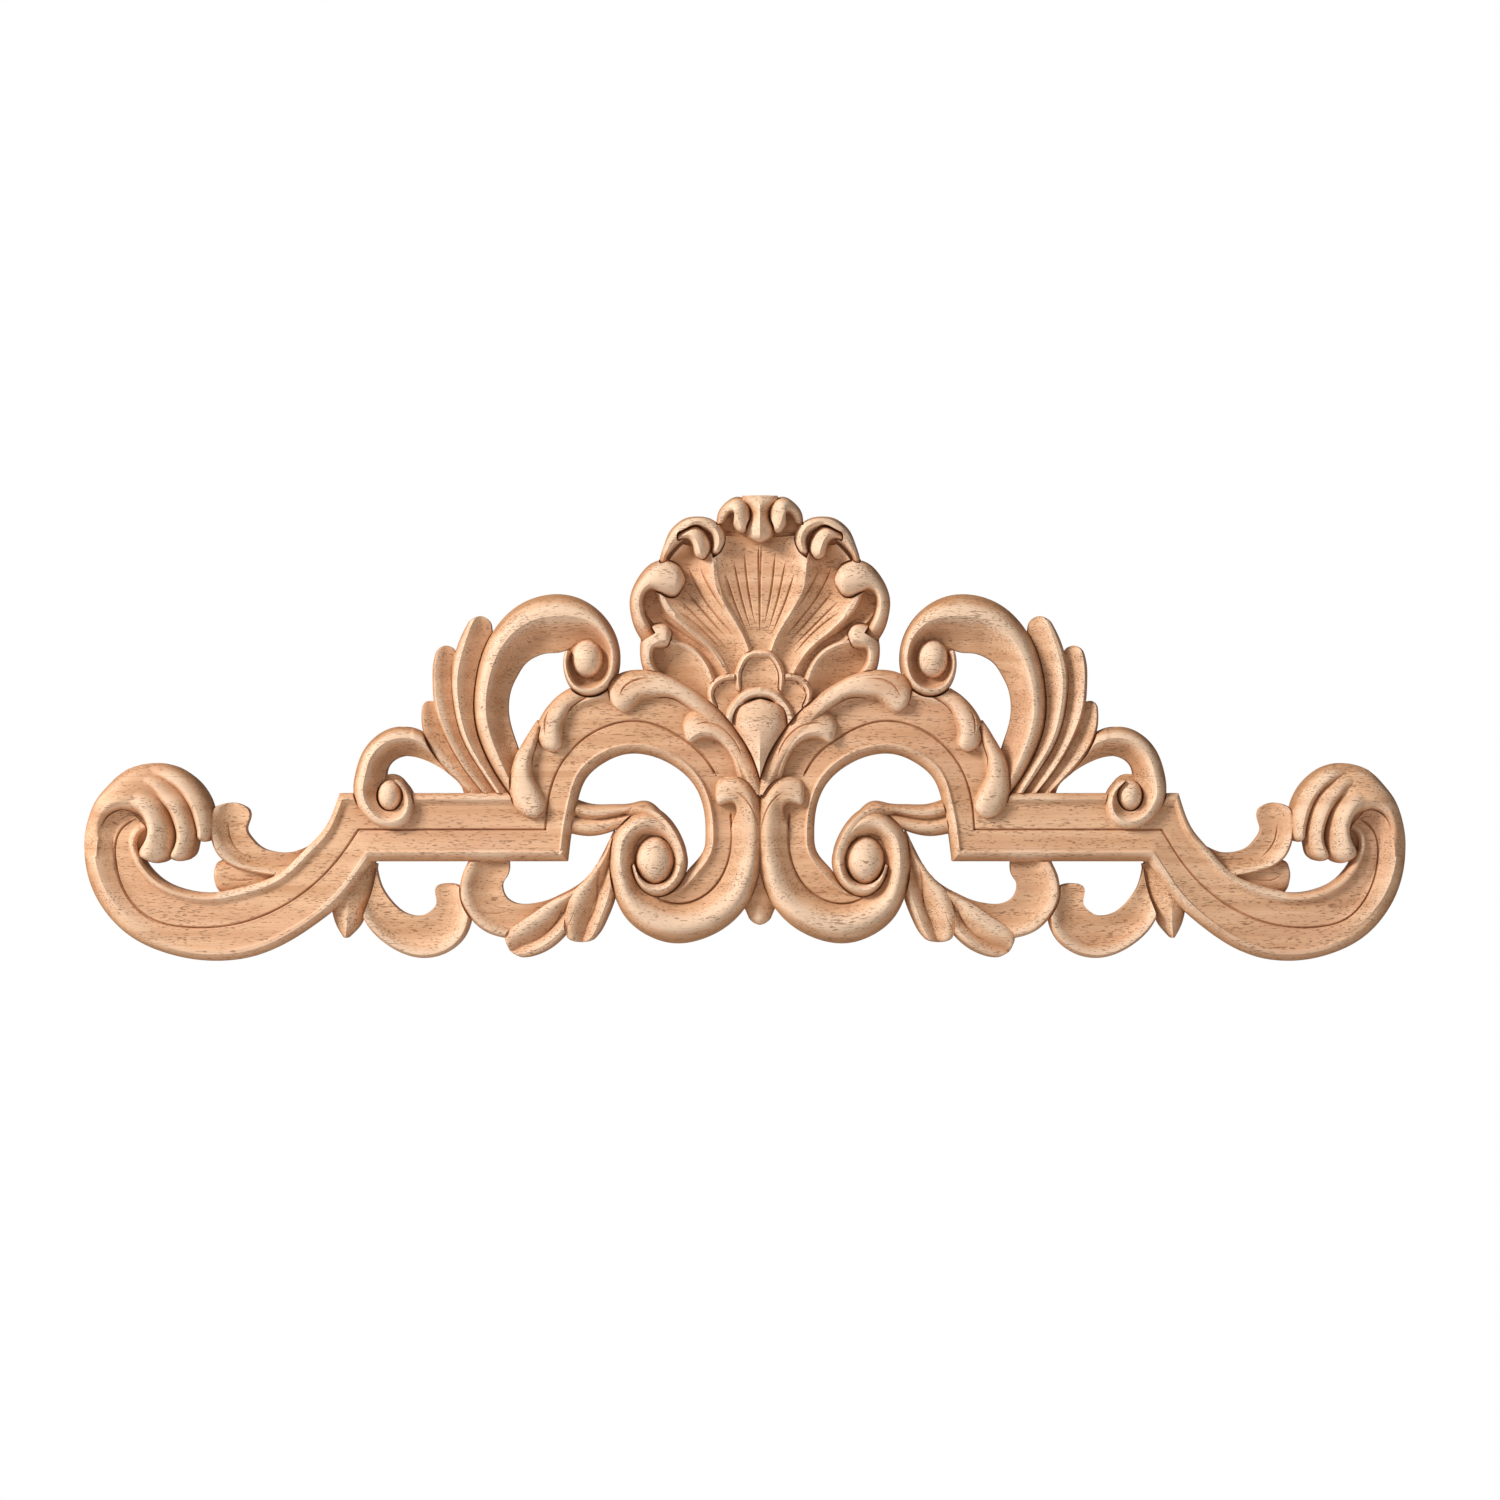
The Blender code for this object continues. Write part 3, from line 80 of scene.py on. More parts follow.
@dataclass(frozen=True)
class Pattern:
    """The squared paper that the left half is drawn on."""

    overall_width: float = 600.0     # mm, tip to tip of the end scrolls
    steps_wide: float = 1322.0       # the same on the paper
    axis: float = 760.0              # the middle line
    level: float = 728.0             # height of the origin
    allowance: float = 0.9           # steps that the saw stays outside the drawn line
    bar_corner: float = 405.0        # steps from the middle line to the outer corner of the bar
    right_end_reach: float = 0.889   # length of the right end past that corner, against the left

    @property
    def step(self) -> float:
        """Millimetres to one step of the paper."""
        return self.overall_width / self.steps_wide

    def lay_out(self, ribs: np.ndarray, grow: float) -> np.ndarray:
        """Ribs in millimetres in the plane of the back.

        Args:
            ribs: one row for each rib, (ax, ay, bx, by) in steps.
            grow: steps by which both ends move out.

        Returns:
            The ribs as (ax, az, bx, bz).
        """
        across = ribs[:, :2] - ribs[:, 2:]
        across = across / np.linalg.norm(across, axis=1)[:, None] * grow
        drawn = ribs + np.concatenate([across, -across], axis=1)
        placed = np.empty_like(drawn)
        placed[:, 0::2] = (drawn[:, 0::2] - self.axis) * self.step
        placed[:, 1::2] = (self.level - drawn[:, 1::2]) * self.step
        return placed


PATTERN = Pattern()


def spline(values: np.ndarray, knots: np.ndarray, at: np.ndarray) -> np.ndarray:
    """A natural cubic spline.

    Args:
        values: one row for each knot.
        knots: the places of the values, rising.
        at: the places to read.

    Returns:
        One row for each place read.
    """
    if len(values) == 1:
        return np.repeat(values, len(at), axis=0)
    step = np.diff(knots)
    slope = np.diff(values, axis=0) / step[:, None]
    bend = np.zeros_like(values)
    inner = len(values) - 2
    if inner > 0:
        matrix = np.zeros((inner, inner))
        k = np.arange(inner)
        matrix[k, k] = 2 * (step[:-1] + step[1:])
        matrix[k[:-1], k[1:]] = matrix[k[1:], k[:-1]] = step[1:-1]
        bend[1:-1] = np.linalg.solve(matrix, 6 * np.diff(slope, axis=0))
    span = np.clip(np.searchsorted(knots, at, side="right") - 1, 0, len(values) - 2)
    h = step[span][:, None]
    p = (knots[span + 1] - at)[:, None] / h
    q = 1 - p
    curve = (p ** 3 - p) * bend[span] + (q ** 3 - q) * bend[span + 1]
    return p * values[span] + q * values[span + 1] + curve * h ** 2 / 6


def between(p: np.ndarray, q: np.ndarray, pitch: float) -> np.ndarray:
    """Points on the way from p to q, at most a pitch apart, without p and q."""
    count = int(np.linalg.norm(q - p) / pitch)
    return p + (q - p) * np.linspace(0, 1, count + 2)[1:-1, None]


def cross(p: np.ndarray, q: np.ndarray) -> np.ndarray:
    """The cross product of vectors in the plane."""
    return p[..., 0] * q[..., 1] - p[..., 1] * q[..., 0]


class Profile:
    """A profile across a strip."""

    def __init__(self, *knots: tuple) -> None:
        """Draw the profile.

        Args:
            knots: places (v, height) that it passes through, v from -1 to 1. A third value is a crease.
        """
        self.v = np.array([k[0] for k in knots], float)
        self.height = np.array([k[1] for k in knots], float)
        self.creases: list[float] = [k[0] for k in knots if len(k) > 2]
        run = np.diff(self.v)
        rate = np.diff(self.height) / run
        self.leave = np.append(rate, rate[-1])
        self.arrive = np.insert(rate, 0, rate[0])
        for k in range(1, len(knots) - 1):
            if len(knots[k]) == 2:
                self.leave[k] = self.arrive[k] = self.even_slope(rate[k - 1:k + 1], run[k - 1:k + 1])

    @staticmethod
    def even_slope(rate: np.ndarray, run: np.ndarray) -> float:
        """The slope at a smooth knot.

        Args:
            rate: the slopes on its two sides.
            run: the lengths on its two sides.

        Returns:
            Their weighted harmonic mean, or nothing at a peak.
        """
        if rate[0] * rate[1] <= 0:
            return 0.0
        w1, w2 = 2 * run[1] + run[0], run[1] + 2 * run[0]
        return (w1 + w2) / (w1 / rate[0] + w2 / rate[1])

    def at(self, v: np.ndarray, along: np.ndarray) -> np.ndarray:
        """Height of the profile, from 0 at the foot to 1 at the crest.

        Args:
            v: places across the strip.
            along: places along it, from 0 to 1.

        Returns:
            One height for each place.
        """
        k = np.clip(np.searchsorted(self.v, v, side="right") - 1, 0, len(self.v) - 2)
        run = self.v[k + 1] - self.v[k]
        t = (v - self.v[k]) / run
        ends = (2 * t ** 3 - 3 * t ** 2 + 1) * self.height[k] + (3 * t ** 2 - 2 * t ** 3) * self.height[k + 1]
        turns = (t ** 3 - 2 * t ** 2 + t) * self.leave[k] + (t ** 3 - t ** 2) * self.arrive[k + 1]
        return ends + turns * run


class Round(Profile):
    """Half an ellipse that stands on an edge of the given height."""

    def __init__(self, edge: float) -> None:
        """Set the height of the edge, against 1 at the crest."""
        self.edge = edge
        self.creases = []

    def at(self, v: np.ndarray, along: np.ndarray) -> np.ndarray:
        """Height of the half ellipse."""
        return self.edge + (1 - self.edge) * np.sqrt(np.clip(1 - v * v, 0, 1))


class Turning(Profile):
    """A profile that turns from one into another between two places along its strip."""

    def __init__(self, first: Profile, last: Profile, start: float, end: float) -> None:
        """Set the two profiles, and the places from 0 to 1 where the turn starts and ends."""
        self.first, self.last, self.start, self.end = first, last, start, end
        self.creases = sorted(set(first.creases + last.creases))

    def at(self, v: np.ndarray, along: np.ndarray) -> np.ndarray:
        """Height of the mixed profile.

        Args:
            v: places across the strip.
            along: places along it, from 0 to 1.

        Returns:
            One height for each place.
        """
        share = np.clip((along - self.start) / (self.end - self.start), 0, 1)
        share = share * share * (3 - 2 * share)
        return (1 - share) * self.first.at(v, along) + share * self.last.at(v, along)


CREASE = True
MOULDING = Profile((-1, 0.15), (-0.80, 0.88), (-0.755, 1.0), (-0.66, 0.74, CREASE), (-0.09, 0.55, CREASE),
                   (0.0, 0.58), (0.64, 0.50, CREASE), (0.82, 0.90, CREASE), (0.92, 0.84), (1, 0.55))
MOULDING_WIDE = Profile((-1, 0.10), (-0.75, 0.72), (-0.56, 1.0, CREASE), (0.10, 0.34, CREASE), (0.18, 0.40),
                        (0.68, 0.46, CREASE), (0.82, 0.88), (0.92, 0.85), (1, 0.5))
ARCH = Profile((-1, 0.12), (-0.84, 0.78), (-0.74, 1.0), (-0.64, 0.62, CREASE), (-0.20, 0.50), (1, 0.42))
FILLET = Profile((-1, 0.10), (0.14, 0.72), (1, 1.0))
SCROLL = Profile((-1, 0.0), (-0.72, 0.66), (-0.42, 0.97), (-0.22, 1.0, CREASE), (0.2, 0.5), (0.62, 0.18),
                 (1, 0.1))
RIM = Profile((-1, 0.0), (-0.74, 0.62), (-0.36, 1.0), (0.10, 0.80), (0.60, 0.42), (1, 0.18))
COIL = Profile((-1, 0.0), (-0.6, 0.66), (-0.08, 1.0), (0.35, 0.80), (0.75, 0.35), (1, 0.18))
FEATHER = Profile((-1, 0.25), (-0.82, 0.85), (-0.62, 1.0), (-0.4, 0.85), (0.3, 0.45), (1, 0.3))
FINGER = Profile((-1, 0.10), (-0.65, 0.66), (-0.1, 0.92), (0.32, 1.0), (0.72, 0.78), (1, 0.10))
LEAF = Profile((-1, 0.0), (-0.7, 0.62), (-0.2, 0.92), (0.35, 1.0), (0.75, 0.72), (1, 0.1))
BACK = Profile((-1, 0.05), (-0.6, 0.66), (0.0, 0.90), (0.55, 1.0), (0.86, 0.72), (1, 0.1))
LOBE = Profile((-1, 0.82), (-0.72, 1.0), (0.15, 0.46, CREASE), (0.68, 0.88), (0.86, 0.74), (1, 0.1))
RIDGE = Profile((-1, 0.0), (-0.4, 0.75), (0, 1.0), (0.4, 0.75), (1, 0.0))
KEEL = Profile((-1, 0.1), (-0.7, 0.62), (0, 1.0, CREASE), (0.7, 0.62), (1, 0.1))
VEE = Profile((-1, 0.0), (0, 1.0, CREASE), (1, 0.0))
STRAP = Profile((-1, 0.2), (-0.72, 0.8), (-0.45, 1.0), (-0.05, 0.35, CREASE), (0.35, 0.85), (0.65, 0.8),
                (1, 0.1))
HOLLOW = Profile((-1, 0.45), (-0.8, 1.0), (-0.2, 0.45), (0.4, 0.25), (1, 0.35))
DISH = Profile((-1, 1.0), (-0.5, 0.3), (0, 0.0), (0.5, 0.3), (1, 1.0))
FLUTE = Profile((-1, 1.0), (-0.3, 0.3), (0.4, 0.0), (1, 0.0))
FLAT = Profile((-1, 1.0), (1, 1.0))
ROLL = Round(0.25)
DOME = Round(0.0)


@dataclass
class Strip:
    """A carved form lofted across its ribs, each from a point on one edge to one on the other.

    Args:
        name: what the form is.
        profile: its profile across.
        foot: height of its foot, one value or several spread along it, in mm.
        crest: height of its crest, likewise.
        ribs: rows (ax, ay, bx, by) in steps of the pattern.
        caps: length of the round start and end, in steps.
        tapers: length of the pointed start and end, in steps.
        mode: how it meets the carving below it.
        pitch: about how far apart its stations are, in mm.
        dense: places that it is first laid out at.
        toe_breadth: breadth of the foot of the step round it, in mm.
        near_ends: extra stations at a round end, in pitches from it.
    """

    name: str
    profile: Profile
    foot: Heights
    crest: Heights
    ribs: Sequence[Rib]
    caps: tuple[float, float] = (0.0, 0.0)
    tapers: tuple[float, float] = (0.0, 0.0)
    mode: Mode = Mode.OVER
    pitch: float = 1.15
    dense: int = 400
    toe_breadth: float = 0.22
    near_ends: tuple[float, ...] = (0.03, 0.12, 0.3, 0.6)

    def __post_init__(self) -> None:
        """Lay the stations out, about a pitch apart."""
        grow = 0.0 if self.mode is Mode.CUT else PATTERN.allowance
        placed = PATTERN.lay_out(np.array(self.ribs, float), grow)
        moved = np.linalg.norm(np.diff(placed[:, :2], axis=0), axis=1)
        moved += np.linalg.norm(np.diff(placed[:, 2:], axis=0), axis=1)
        knots = np.insert(np.cumsum(moved), 0, 0.0) / moved.sum()
        self.along = self.even_places(spline(placed, knots, np.linspace(0, 1, self.dense)))
        shape = spline(placed, knots, self.along)
        middle, half = (shape[:, :2] + shape[:, 2:]) / 2, (shape[:, 2:] - shape[:, :2]) / 2
        swell = self.swell(middle)
        self.a, self.b = middle - half * swell[:, None], middle + half * swell[:, None]
        low, high = self.level(self.foot, knots), self.level(self.crest, knots)
        self.low, self.rise = low, (high - low) * swell

    def even_places(self, shape: np.ndarray) -> np.ndarray:
        """Places along the strip about a pitch apart on its longer edge.

        Args:
            shape: rows (ax, az, bx, bz), one for each place of the first layout.

        Returns:
            The places, from 0 to 1.
        """
        steps = np.maximum(np.linalg.norm(np.diff(shape[:, :2], axis=0), axis=1),
                           np.linalg.norm(np.diff(shape[:, 2:], axis=0), axis=1))
        run = np.insert(np.cumsum(steps), 0, 0.0)
        count = max(3, int(math.ceil(run[-1] / self.pitch)) + 1)
        even = np.interp(np.linspace(0, run[-1], count), run, np.linspace(0, 1, self.dense))
        ends = [end for end, cap in zip((0.0, 1.0), self.caps) if cap]
        near = [abs(end - part * self.pitch / run[-1]) for end in ends for part in self.near_ends]
        return np.unique(np.concatenate([even, near]))

    def level(self, heights: Heights, knots: np.ndarray) -> np.ndarray:
        """One height for each station.

        Args:
            heights: one value, one for each rib, or several spread evenly along the strip.
            knots: places of the ribs.

        Returns:
            The heights at the stations.
        """
        values = np.atleast_1d(np.array(heights, float))
        places = knots if len(values) == len(knots) else np.linspace(0, 1, len(values))
        return spline(values[:, None], places, self.along)[:, 0]

    def swell(self, middle: np.ndarray) -> np.ndarray:
        """Breadth of each station against the drawn one, less at round and pointed ends.

        Args:
            middle: the strip's middle line.

        Returns:
            Shares from 0 to 1.
        """
        run = np.insert(np.cumsum(np.linalg.norm(np.diff(middle, axis=0), axis=1)), 0, 0.0)
        swell = np.ones(len(middle))
        for cap, taper, gone in zip(self.caps, self.tapers, (run, run[-1] - run)):
            if cap:
                swell *= np.sqrt(1 - (1 - np.clip(gone / (cap * PATTERN.step), 0, 1)) ** 2)
            if taper:
                swell *= np.clip(gone / (taper * PATTERN.step), 0, 1)
        return swell

    def line(self, v: float) -> np.ndarray:
        """The line along the strip at the place v of its profile."""
        return self.a * (1 - v) / 2 + self.b * (1 + v) / 2

    def outline(self) -> np.ndarray:
        """The loop of both edges and both ends.

        Returns:
            Its points in order.
        """
        loop = np.concatenate([self.a, between(self.a[-1], self.b[-1], self.pitch), self.b[::-1],
                               between(self.b[0], self.a[0], self.pitch)])
        return loop[np.linalg.norm(loop - np.roll(loop, 1, axis=0), axis=1) > TINY]

    def toe(self) -> np.ndarray:
        """The foot of the step round the strip.

        Returns:
            The outline's points, moved out.
        """
        loop = self.outline()
        ahead, behind = np.roll(loop, -1, axis=0) - loop, loop - np.roll(loop, 1, axis=0)
        tangent = (ahead / np.linalg.norm(ahead, axis=1)[:, None]
                   + behind / np.linalg.norm(behind, axis=1)[:, None])
        tangent /= np.linalg.norm(tangent, axis=1)[:, None] + TINY
        side = math.copysign(self.toe_breadth, float(np.sum(cross(loop, np.roll(loop, -1, axis=0)))))
        return loop + np.stack([tangent[:, 1], -tangent[:, 0]], axis=1) * side

    def locate(self, points: np.ndarray, skin: float = 0.0) -> tuple[np.ndarray, np.ndarray]:
        """Which points lie on the strip, and where.

        Args:
            points: rows (x, z) in millimetres.
            skin: how far beside the edge still counts.

        Returns:
            A mask, and rows with the foot, rise, v and place along the strip.
        """
        found = np.zeros(len(points), bool)
        data = np.zeros((4, len(points)))
        edges = np.stack([self.a, self.b])
        cells = np.stack([edges[:, :-1], edges[:, 1:]])
        low, high = cells.min(axis=(0, 1)) - skin, cells.max(axis=(0, 1)) + skin
        near = np.nonzero(((points >= low.min(0)) & (points <= high.max(0))).all(axis=1))[0]
        if not len(near):
            return found, data
        near = near[np.argsort(points[near, 0], kind="stable")]
        reach, least, most = points[near, 0], points[near].min(0), points[near].max(0)
        for i in np.nonzero(((high >= least) & (low <= most)).all(axis=1))[0]:
            some = near[np.searchsorted(reach, low[i, 0]):np.searchsorted(reach, high[i, 0], side="right")]
            some = some[(points[some, 1] >= low[i, 1]) & (points[some, 1] <= high[i, 1])]
            quad = np.stack([self.a[i], self.b[i], self.a[i + 1], self.b[i + 1]])
            if len(some):
                self.locate_in_cell(points, some, quad, i, skin, found, data)
        return found, data

    def locate_in_cell(self, points: np.ndarray, some: np.ndarray, quad: np.ndarray, i: int, skin: float,
                       found: np.ndarray, data: np.ndarray) -> None:
        """Place the points that lie between the stations i and i + 1.

        Args:
            points: all the points.
            some: indices of the points to try.
            quad: the corners of the cell, two for each station.
            i: the first station.
            skin: how far beside the edge still counts.
            found: the mask to fill in.
            data: the rows to fill in.
        """
        rest = points[some] - quad[0]
        e, g = quad[1] - quad[0], quad[2] - quad[0]
        h = quad[3] - quad[2] - e
        c2, c1, c0 = -cross(h, g), cross(h, rest) - cross(e, g), cross(e, rest)
        with np.errstate(divide="ignore", invalid="ignore"):
            if abs(c2) < TINY:
                roots = [-c0 / c1]
            else:
                square = c1 * c1 - 4 * c2 * c0
                k = -0.5 * (c1 + np.where(c1 >= 0, 1, -1) * np.sqrt(np.clip(square, 0, None)))
                roots = [np.where(square >= 0, r, np.nan) for r in (k / c2, c0 / k)]
        mean = max((np.linalg.norm(g) + np.linalg.norm(quad[3] - quad[1])) / 2, TINY)
        slack = max(skin / mean if i in (0, len(self.a) - 2) else 0.0, TINY)
        for f in roots:
            good = np.isfinite(f) & (f >= -slack) & (f <= 1 + slack)
            f = np.clip(np.where(good, f, 0), 0, 1)
            gap = rest - f[:, None] * g
            rib = e + f[:, None] * h
            width = np.maximum(np.linalg.norm(rib, axis=1), TINY)
            q = (gap * rib).sum(1) / width ** 2
            spare = 2 * skin / np.maximum(width, skin + TINY) + TINY
            good &= (q >= -spare) & (q <= 1 + spare) & (np.abs(cross(gap, rib)) / width <= skin + TINY)
            hit, part = some[good], f[good]
            found[hit] = True
            for row, value in ((0, self.low), (1, self.rise), (3, self.along)):
                data[row, hit] = value[i] + part * (value[i + 1] - value[i])
            data[2, hit] = np.clip(2 * q[good] - 1, -1, 1)


class Board:
    """The board and the strips carved on its left half, from the back layer to the front one."""

    def __init__(self) -> None:
        """Start with nothing on it."""
        self.strips: list[Strip] = []

    def carve(self, name: str, profile: Profile, foot: Heights, crest: Heights, ribs: Sequence[Rib],
              start: float = 0, end: float = 0, taper_in: float = 0, taper_out: float = 0,
              mode: Mode = Mode.OVER) -> None:
        """Lay one strip on the board.

        Args:
            name: what the form is.
            profile: its profile across.
            foot: height of its foot in mm.
            crest: height of its crest in mm.
            ribs: rows (ax, ay, bx, by) in steps.
            start: length of a round start in steps.
            end: length of a round end in steps.
            taper_in: length of a pointed start in steps.
            taper_out: length of a pointed end in steps.
            mode: how it meets the carving below it.
        """
        self.strips.append(Strip(name, profile, foot, crest, ribs, (start, end), (taper_in, taper_out), mode))

    def run(self, name: str, profile: Profile, foot: Heights, crest: Heights,
            path: Sequence[tuple[float, float, float]], **ends: object) -> None:
        """Lay a strip along a middle line.

        Args:
            name: what the form is.
            profile: its profile across.
            foot: height of its foot in mm.
            crest: height of its crest in mm.
            path: rows (x, y, width) in steps.
            ends: the start, end, tapers and mode, as carve takes them.
        """
        middle = np.array(path, float)
        heading = np.gradient(middle[:, :2], axis=0)
        heading /= np.linalg.norm(heading, axis=1)[:, None]
        side = np.stack([heading[:, 1], -heading[:, 0]], axis=1) * middle[:, 2:] / 2
        ribs = np.concatenate([middle[:, :2] - side, middle[:, :2] + side], axis=1)
        self.carve(name, profile, foot, crest, ribs, **ends)

    def boss(self, name: str, x: float, y: float, half_width: float, half_height: float, foot: float,
             crest: float) -> None:
        """Lay a domed oval on the board.

        Args:
            name: what the form is.
            x: its middle in steps.
            y: its middle in steps.
            half_width: in steps.
            half_height: in steps.
            foot: height of its edge in mm.
            crest: height of its top in mm.
        """
        ribs = [(x - half_width, z, x + half_width, z) for z in (y - half_height, y + half_height)]
        self.carve(name, DOME, foot, crest, ribs, half_height, half_height)

    def incise(self, path: Sequence[tuple[float, float]], width: float = GROOVE_WIDTH,
               depth: float = GROOVE_DEPTH, taper_in: float = 0, taper_out: float = 0) -> None:
        """Cut a V groove along a line.

        Args:
            path: rows (x, y) in steps.
            width: of the groove in steps.
            depth: of the groove in mm.
            taper_in: length of its pointed start in steps.
            taper_out: length of its pointed end in steps.
        """
        self.run("groove", VEE, 0.0, depth, [(x, y, width) for x, y in path], taper_in=taper_in,
                 taper_out=taper_out, mode=Mode.CUT)

    def heights(self, points: np.ndarray, skin: float = 0.0, layers: Optional[int] = None) -> np.ndarray:
        """Height of the carving over its back.

        Args:
            points: rows (x, z) in millimetres.
            skin: how far beside an edge still counts.
            layers: how many strips to take, from the back one on. All of them as a rule.

        Returns:
            One height for each point, not a number beside the carving.
        """
        height = np.full(len(points), np.nan)
        for strip in self.strips[:layers]:
            found, (foot, rise, v, along) = strip.locate(points, skin)
            form = rise * strip.profile.at(v, along)
            if strip.mode is Mode.CUT:
                found &= np.isfinite(height)
                height[found] -= form[found]
            elif strip.mode is Mode.LIFT:
                height[found] = np.fmax(height[found], (foot + form)[found])
            else:
                height[found] = (foot + form)[found]
        return height


@dataclass
class ReliefCutter:
    """Cuts the board's strips into one closed mesh.

    Args:
        board: the board with its strips.
        line_pitch: mm between the lines along a strip.
        seam_pitch: mm between points on the middle line.
        weld: closer points are one, in mm.
        skin: how near an edge still counts as on it, in mm.
        least_step: lower steps have no foot of their own, in mm.
        hiding: lines that lie deeper than this under a later strip are left out, in mm.
        keep_off: lines this near a later strip are left out, in breadths of its toe.
        valley_places: places across a strip that are tried for a valley.
        hollow_rounds: times that heights are evened out to find the hollows.
    """

    board: Board
    line_pitch: float = 1.7
    seam_pitch: float = 1.0
    weld: float = 0.06
    skin: float = 0.05
    least_step: float = 0.25
    hiding: float = 0.15
    keep_off: float = 1.2
    valley_places: int = 49
    hollow_rounds: int = 22

    @staticmethod
    def left_of_seam(line: np.ndarray) -> list[np.ndarray]:
        """The part of a polyline on the left of the middle line.

        Args:
            line: its points.

        Returns:
            Stretches, cut where the polyline crosses the middle line.
        """
        runs: list[list[np.ndarray]] = []
        run: list[np.ndarray] = []
        for k, point in enumerate(line):
            if k and (point[0] > 0) != (line[k - 1][0] > 0):
                before = line[k - 1]
                crossing = before + (point - before) * before[0] / (before[0] - point[0])
                run.append(np.array([0.0, crossing[1]]))
                if point[0] > 0:
                    runs.append(run)
                    run = []
            if point[0] <= 0:
                run.append(point)
        return [np.array(r) for r in runs + [run] if len(r) > 1]

    @staticmethod
    def shown(line: np.ndarray, hidden: np.ndarray) -> list[np.ndarray]:
        """The part of a polyline that isn't hidden.

        Args:
            line: its points.
            hidden: which of them are hidden.

        Returns:
            Stretches, with one hidden point at either end.
        """
        runs, start = [], None
        for k, drop in enumerate(np.append(hidden[:-1] & hidden[1:], True)):
            if not drop and start is None:
                start = k
            if drop and start is not None:
                runs.append(line[start:k + 1])
                start = None
        return runs

    def drawn_lines(self, index: int) -> tuple[list[np.ndarray], list[np.ndarray]]:
        """The lines that the facets follow on one strip.

        Args:
            index: which strip.

        Returns:
            Lines that stay edges, and lines whose points are enough.
        """
        strip = self.board.strips[index]
        if strip.mode is Mode.CUT:
            return [strip.a, strip.b, strip.line(0.0)], []
        loop, toe = strip.outline(), strip.toe()
        step = np.abs(self.board.heights(loop, self.skin) - self.board.heights(toe, self.skin))
        level = ~(step > self.least_step)
        kept = [np.append(loop, loop[:1], axis=0)]
        kept += self.shown(np.append(toe, toe[:1], axis=0), np.append(level, level[:1]))
        kept += [strip.line(v) for v in strip.profile.creases]
        if strip.mode is Mode.LIFT:
            kept += self.valleys(index)
        count = max(1, round(float(np.linalg.norm(strip.a - strip.b, axis=1).max()) / self.line_pitch))
        return kept, [strip.line(2 * k / count - 1)[1:-1] for k in range(1, count)]

    def valleys(self, index: int) -> list[np.ndarray]:
        """The lines in which a strip rises out of the carving below it.

        Args:
            index: which strip.

        Returns:
            Lines along the strip, on either side of it.
        """
        strip = self.board.strips[index]
        v = np.linspace(-1, 1, self.valley_places)
        grid = strip.a[:, None] * (1 - v[:, None]) / 2 + strip.b[:, None] * (1 + v[:, None]) / 2
        below = self.board.heights(grid.reshape(-1, 2), 0.0, index).reshape(grid.shape[:2])
        own = strip.low[:, None] + strip.rise[:, None] * strip.profile.at(v[None, :], strip.along[:, None])
        proud = np.where(np.isfinite(below), own - below, 1.0)
        lines = []
        for side in (slice(None), slice(None, None, -1)):
            line: list[np.ndarray] = []
            for lift, places in zip(proud[:, side], grid[:, side]):
                out = int(np.argmax(lift > 0))
                if lift[0] < 0 < lift[out]:
                    share = lift[out - 1] / (lift[out - 1] - lift[out])
                    line.append(places[out - 1] + share * (places[out] - places[out - 1]))
                elif line:
                    lines.append(np.array(line))
                    line = []
            lines.append(np.array(line))
        return [line for line in lines if len(line) > 1]

    def covered(self, points: np.ndarray, index: int) -> np.ndarray:
        """Which points of a strip lie under later strips.

        Args:
            points: rows (x, z) in millimetres.
            index: which strip.

        Returns:
            A mask.
        """
        own = self.board.heights(points, self.skin, index + 1)
        hidden = self.board.heights(points, self.skin) > own + self.hiding
        for strip in self.board.strips[index + 1:]:
            if strip.mode is Mode.OVER:
                hidden |= strip.locate(points, strip.toe_breadth * self.keep_off)[0]
        return hidden

    def half_sheet(self) -> tuple[np.ndarray, np.ndarray, np.ndarray]:
        """Facets of the left half in the plane of the back.

        Returns:
            Points in millimetres, triangles of their numbers, and the height at each point.
        """
        points: list[np.ndarray] = []
        ties: list[tuple[int, int]] = []
        for index in range(len(self.board.strips)):
            parts = [(part, tied) for lines, tied in zip(self.drawn_lines(index), (True, False))
                     for line in lines for part in self.left_of_seam(line)]
            hidden = self.covered(np.concatenate([part for part, _ in parts]), index)
            for part, tied in parts:
                for stretch in self.shown(part, hidden[:len(part)]):
                    if tied:
                        ties += [(len(points) + k, len(points) + k + 1) for k in range(len(stretch) - 1)]
                    points.extend(stretch if tied else stretch[1:-1])
                hidden = hidden[len(part):]
        top, bottom = max(p[1] for p in points) + self.seam_pitch, min(p[1] for p in points) - self.seam_pitch
        seam = [np.array([0.0, z]) for z in np.arange(bottom, top, self.seam_pitch)]
        ties += [(len(points) + k, len(points) + k + 1) for k in range(len(seam) - 1)]
        return self.wooden_part(*self.triangulate(points + seam, ties))

